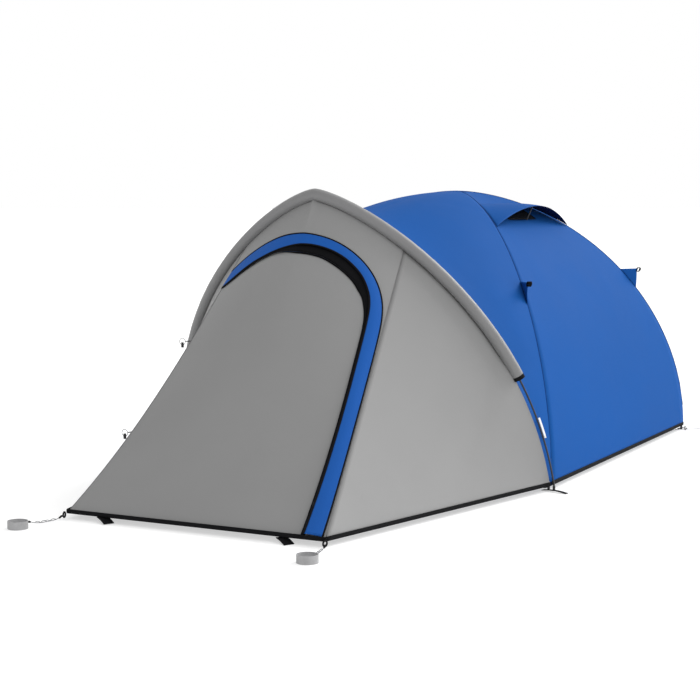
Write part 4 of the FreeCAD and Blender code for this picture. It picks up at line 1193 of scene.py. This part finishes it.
def loop_piece(name, centre, axis, radius, thick, replaced):
    """Closed loop of tape or cord."""
    axis = axis.normalized()
    first = axis.orthogonal().normalized()
    second = axis.cross(first)
    rows = []
    for k in range(LOOP_STEPS + 1):
        turn = math.tau * k / LOOP_STEPS
        out = first * math.cos(turn) + second * math.sin(turn)
        ring = []
        for m in range(LOOP_SIDES):
            round_turn = math.tau * m / LOOP_SIDES
            aside = out * (radius + thick * math.cos(round_turn))
            ring.append(centre + aside + axis * (thick * math.sin(round_turn)))
        rows.append(ring)
    data = grid_data(name, rows, closed=True)
    close_up(data, merge=1e-6)
    finish_mesh(name, data, "black", replaced=replaced)


def ribbon_piece(name, path, across, paint, replaced, thickness):
    """Flat tape along a path; across is its full width."""
    rows = [[point + across * share for share in spread(-0.5, 0.5, 5)] for point in path]
    cloth_piece(name, rows, paint, replaced, thickness)


def line_of(start, end, count, lift):
    points = []
    for share in spread(0.0, 1.0, count):
        points.append(start + (end - start) * share + UP * (lift * math.sin(math.pi * share)))
    return points


def make_guy_tabs():
    for index, (name, x, y) in enumerate(CORNERS):
        out = Vector((0.66 * x, 0.66 * y, 0.36)).normalized()
        low_point = dome_point(x, y, TAB_FOOT, -0.0004)
        tip = Vector((low_point.x, low_point.y, dome_point(x, y, TAB_TOP).z)) + out * TAB_OUT
        side = (low_point - tip).cross(out).normalized()
        rows = []
        for share in spread(0.0, 0.97, 13):
            root = dome_point(x, y, TAB_TOP + (TAB_FOOT - TAB_TOP) * share, -0.0004)
            free = tip + (low_point - tip) * share
            curl = side * (TAB_CURL * math.sin(math.pi * share))
            rows.append([root + (free - root) * t + curl * t for t in shares(7)])
        cloth_piece("guy_tab_" + name, rows, "blue", first_only(index, "guy_out_tabs"), TAB_THICKNESS)
        centre = tip + out * RING_OUT - UP * 0.012
        path = []
        for turn in spread(0.0, math.tau, 25):
            rise = UP * (RING_HALF_HEIGHT * math.sin(turn))
            path.append(centre + out * (RING_HALF_WIDTH * math.cos(turn)) + rise)
        nodes = first_only(index, "guy_out_loops")
        ribbon_piece("guy_loop_" + name, path, side * RING_TAPE, "black", nodes, RING_THICKNESS)


def make_straps():
    index = 0
    for way in (1, -1):
        for ends in STRAPS:
            start, end = (Vector((way * x, y, z)) for x, y, z in ends)
            run = (end - start).normalized()
            across = Vector((-run.y, run.x, 0.0)) * STRAP_WIDTH
            ribbon_piece(
                "corner_strap_%d" % (index + 1), line_of(start, end, 13, STRAP_RISE), across, "black",
                first_only(index, "corner_straps"), STRAP_THICKNESS,
            )
            index += 1
    for index, (start_x, end_x) in enumerate(PEG_TABS):
        start = Vector((start_x, PORCH_FRONT + 0.018, 0.024))
        end = Vector((end_x, PORCH_FRONT - 0.018, 0.003))
        run = (end - start).normalized()
        across = Vector((-run.y, run.x, 0.0)).normalized() * PEG_TAB_WIDTH
        ribbon_piece(
            "front_tab_%d" % (index + 1), line_of(start, end, 9, PEG_TAB_RISE), across, "black",
            first_only(index, "front_peg_tabs"), PEG_TAB_THICKNESS,
        )


def make_loops():
    for index, (side, way) in enumerate(SIDES):
        loop_piece(
            "corner_loop_" + side, Vector((way * 0.693, -2.983, 0.022)), Vector((1.0, -0.25 * way, 0.0)),
            0.0125, 0.0042, first_only(index, "corner_loops"),
        )
        loop_piece(
            "rear_loop_" + side, Vector((way * 1.108, 1.194, 0.014)), Vector((0.72 * way, 0.69, 0.0)),
            0.012, 0.0020, first_only(index, "rear_peg_loops"),
        )
    for index, (place, down, pivot) in enumerate(TIE_PIVOTS):
        anchor = mirrored(side_point(0.012, down, -0.002))
        centre = Vector(pivot) + UP * 0.017
        nodes = first_only(index, "door_tie_loops")
        loop_piece("tie_loop_" + place, centre, Vector((0.0, 1.0, 0.0)), 0.017, 0.0013, nodes)
        path = [anchor + Vector((0.004, 0.0, 0.0)), centre + Vector((0.016, 0.0, 0.002))]
        tube_piece("tie_tab_" + place, path, 0.0026, "black")


def make_tag():
    across = Vector((0.2, 0.98, 0.0)).normalized() * TAG_WIDTH
    path = []
    for angle in spread(*TAG_ANGLES, 7):
        path.append(arch_point(angle, 0.002, 0.022 + 0.0005 * (angle - TAG_ANGLES[0])) + across * 0.5)
    ribbon_piece("blank_tag_cloth", path, across, "tag", ["blank_tag"], TAG_THICKNESS)


def make_seams():
    """Fine seam lines along the pole ridges and the porch's two front ridges."""
    for name, x, y in CORNERS:
        path = [dome_point(x, y, reach, -0.0006) for reach in spread(CROWN_REACH, 0.995, 61)]
        outward = Vector((0.5 * x, 0.5 * y, 0.7)).normalized()
        tube_piece("pole_seam_" + name, path, 0.0028, "blue_seam", 0.5, 8, outward)
    for side, way in SIDES:
        path = [side_point(0.0, down, -0.0008) for down in spread(0.0, 0.99, 41)]
        if way < 0:
            path = [mirrored(point) for point in path]
        tube_piece("ridge_seam_" + side, path, 0.0016, "grey_seam", 0.6, 8, Vector((0.5 * way, -0.5, 0.7)))


# ---- CAD nodes shown as they are, by paint

NODE_PAINTS = {
    "rod": ("cabin_pole_upper", "cabin_pole_lower", "porch_pole"),
    "steel": ("cabin_pole_upper_ferrules", "cabin_pole_lower_ferrules", "porch_pole_ferrules"),
    "plastic": (
        "cabin_pole_tips", "porch_pole_tips", "crown_hub", "inner_hooks", "vent_prop_right", "vent_prop_left",
        "door_toggle_upper", "door_toggle_lower",
    ),
    "peg": ("rear_peg_right", "rear_peg_left"),
    "ring": ("anchor_ring_right", "anchor_ring_left"),
    "slider": ("zip_slider",),
}


def paint_nodes():
    for paint, nodes in NODE_PAINTS.items():
        for node in nodes:
            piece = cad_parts[node]
            piece.data.materials.clear()
            piece.data.materials.append(PAINTS[paint])


make_camera()
make_anchor_cords()
make_lights()
make_floor_stage()
make_cabin_cloth()
make_span_cloth()
make_porch_cloth()
make_flap()
make_zip()
make_sleeve()
make_hems()
make_crown_patch()
make_hoods()
make_inner_cabin()
make_inner_front()
make_groundsheet()
make_guy_tabs()
make_straps()
make_loops()
make_tag()
make_seams()
paint_nodes()
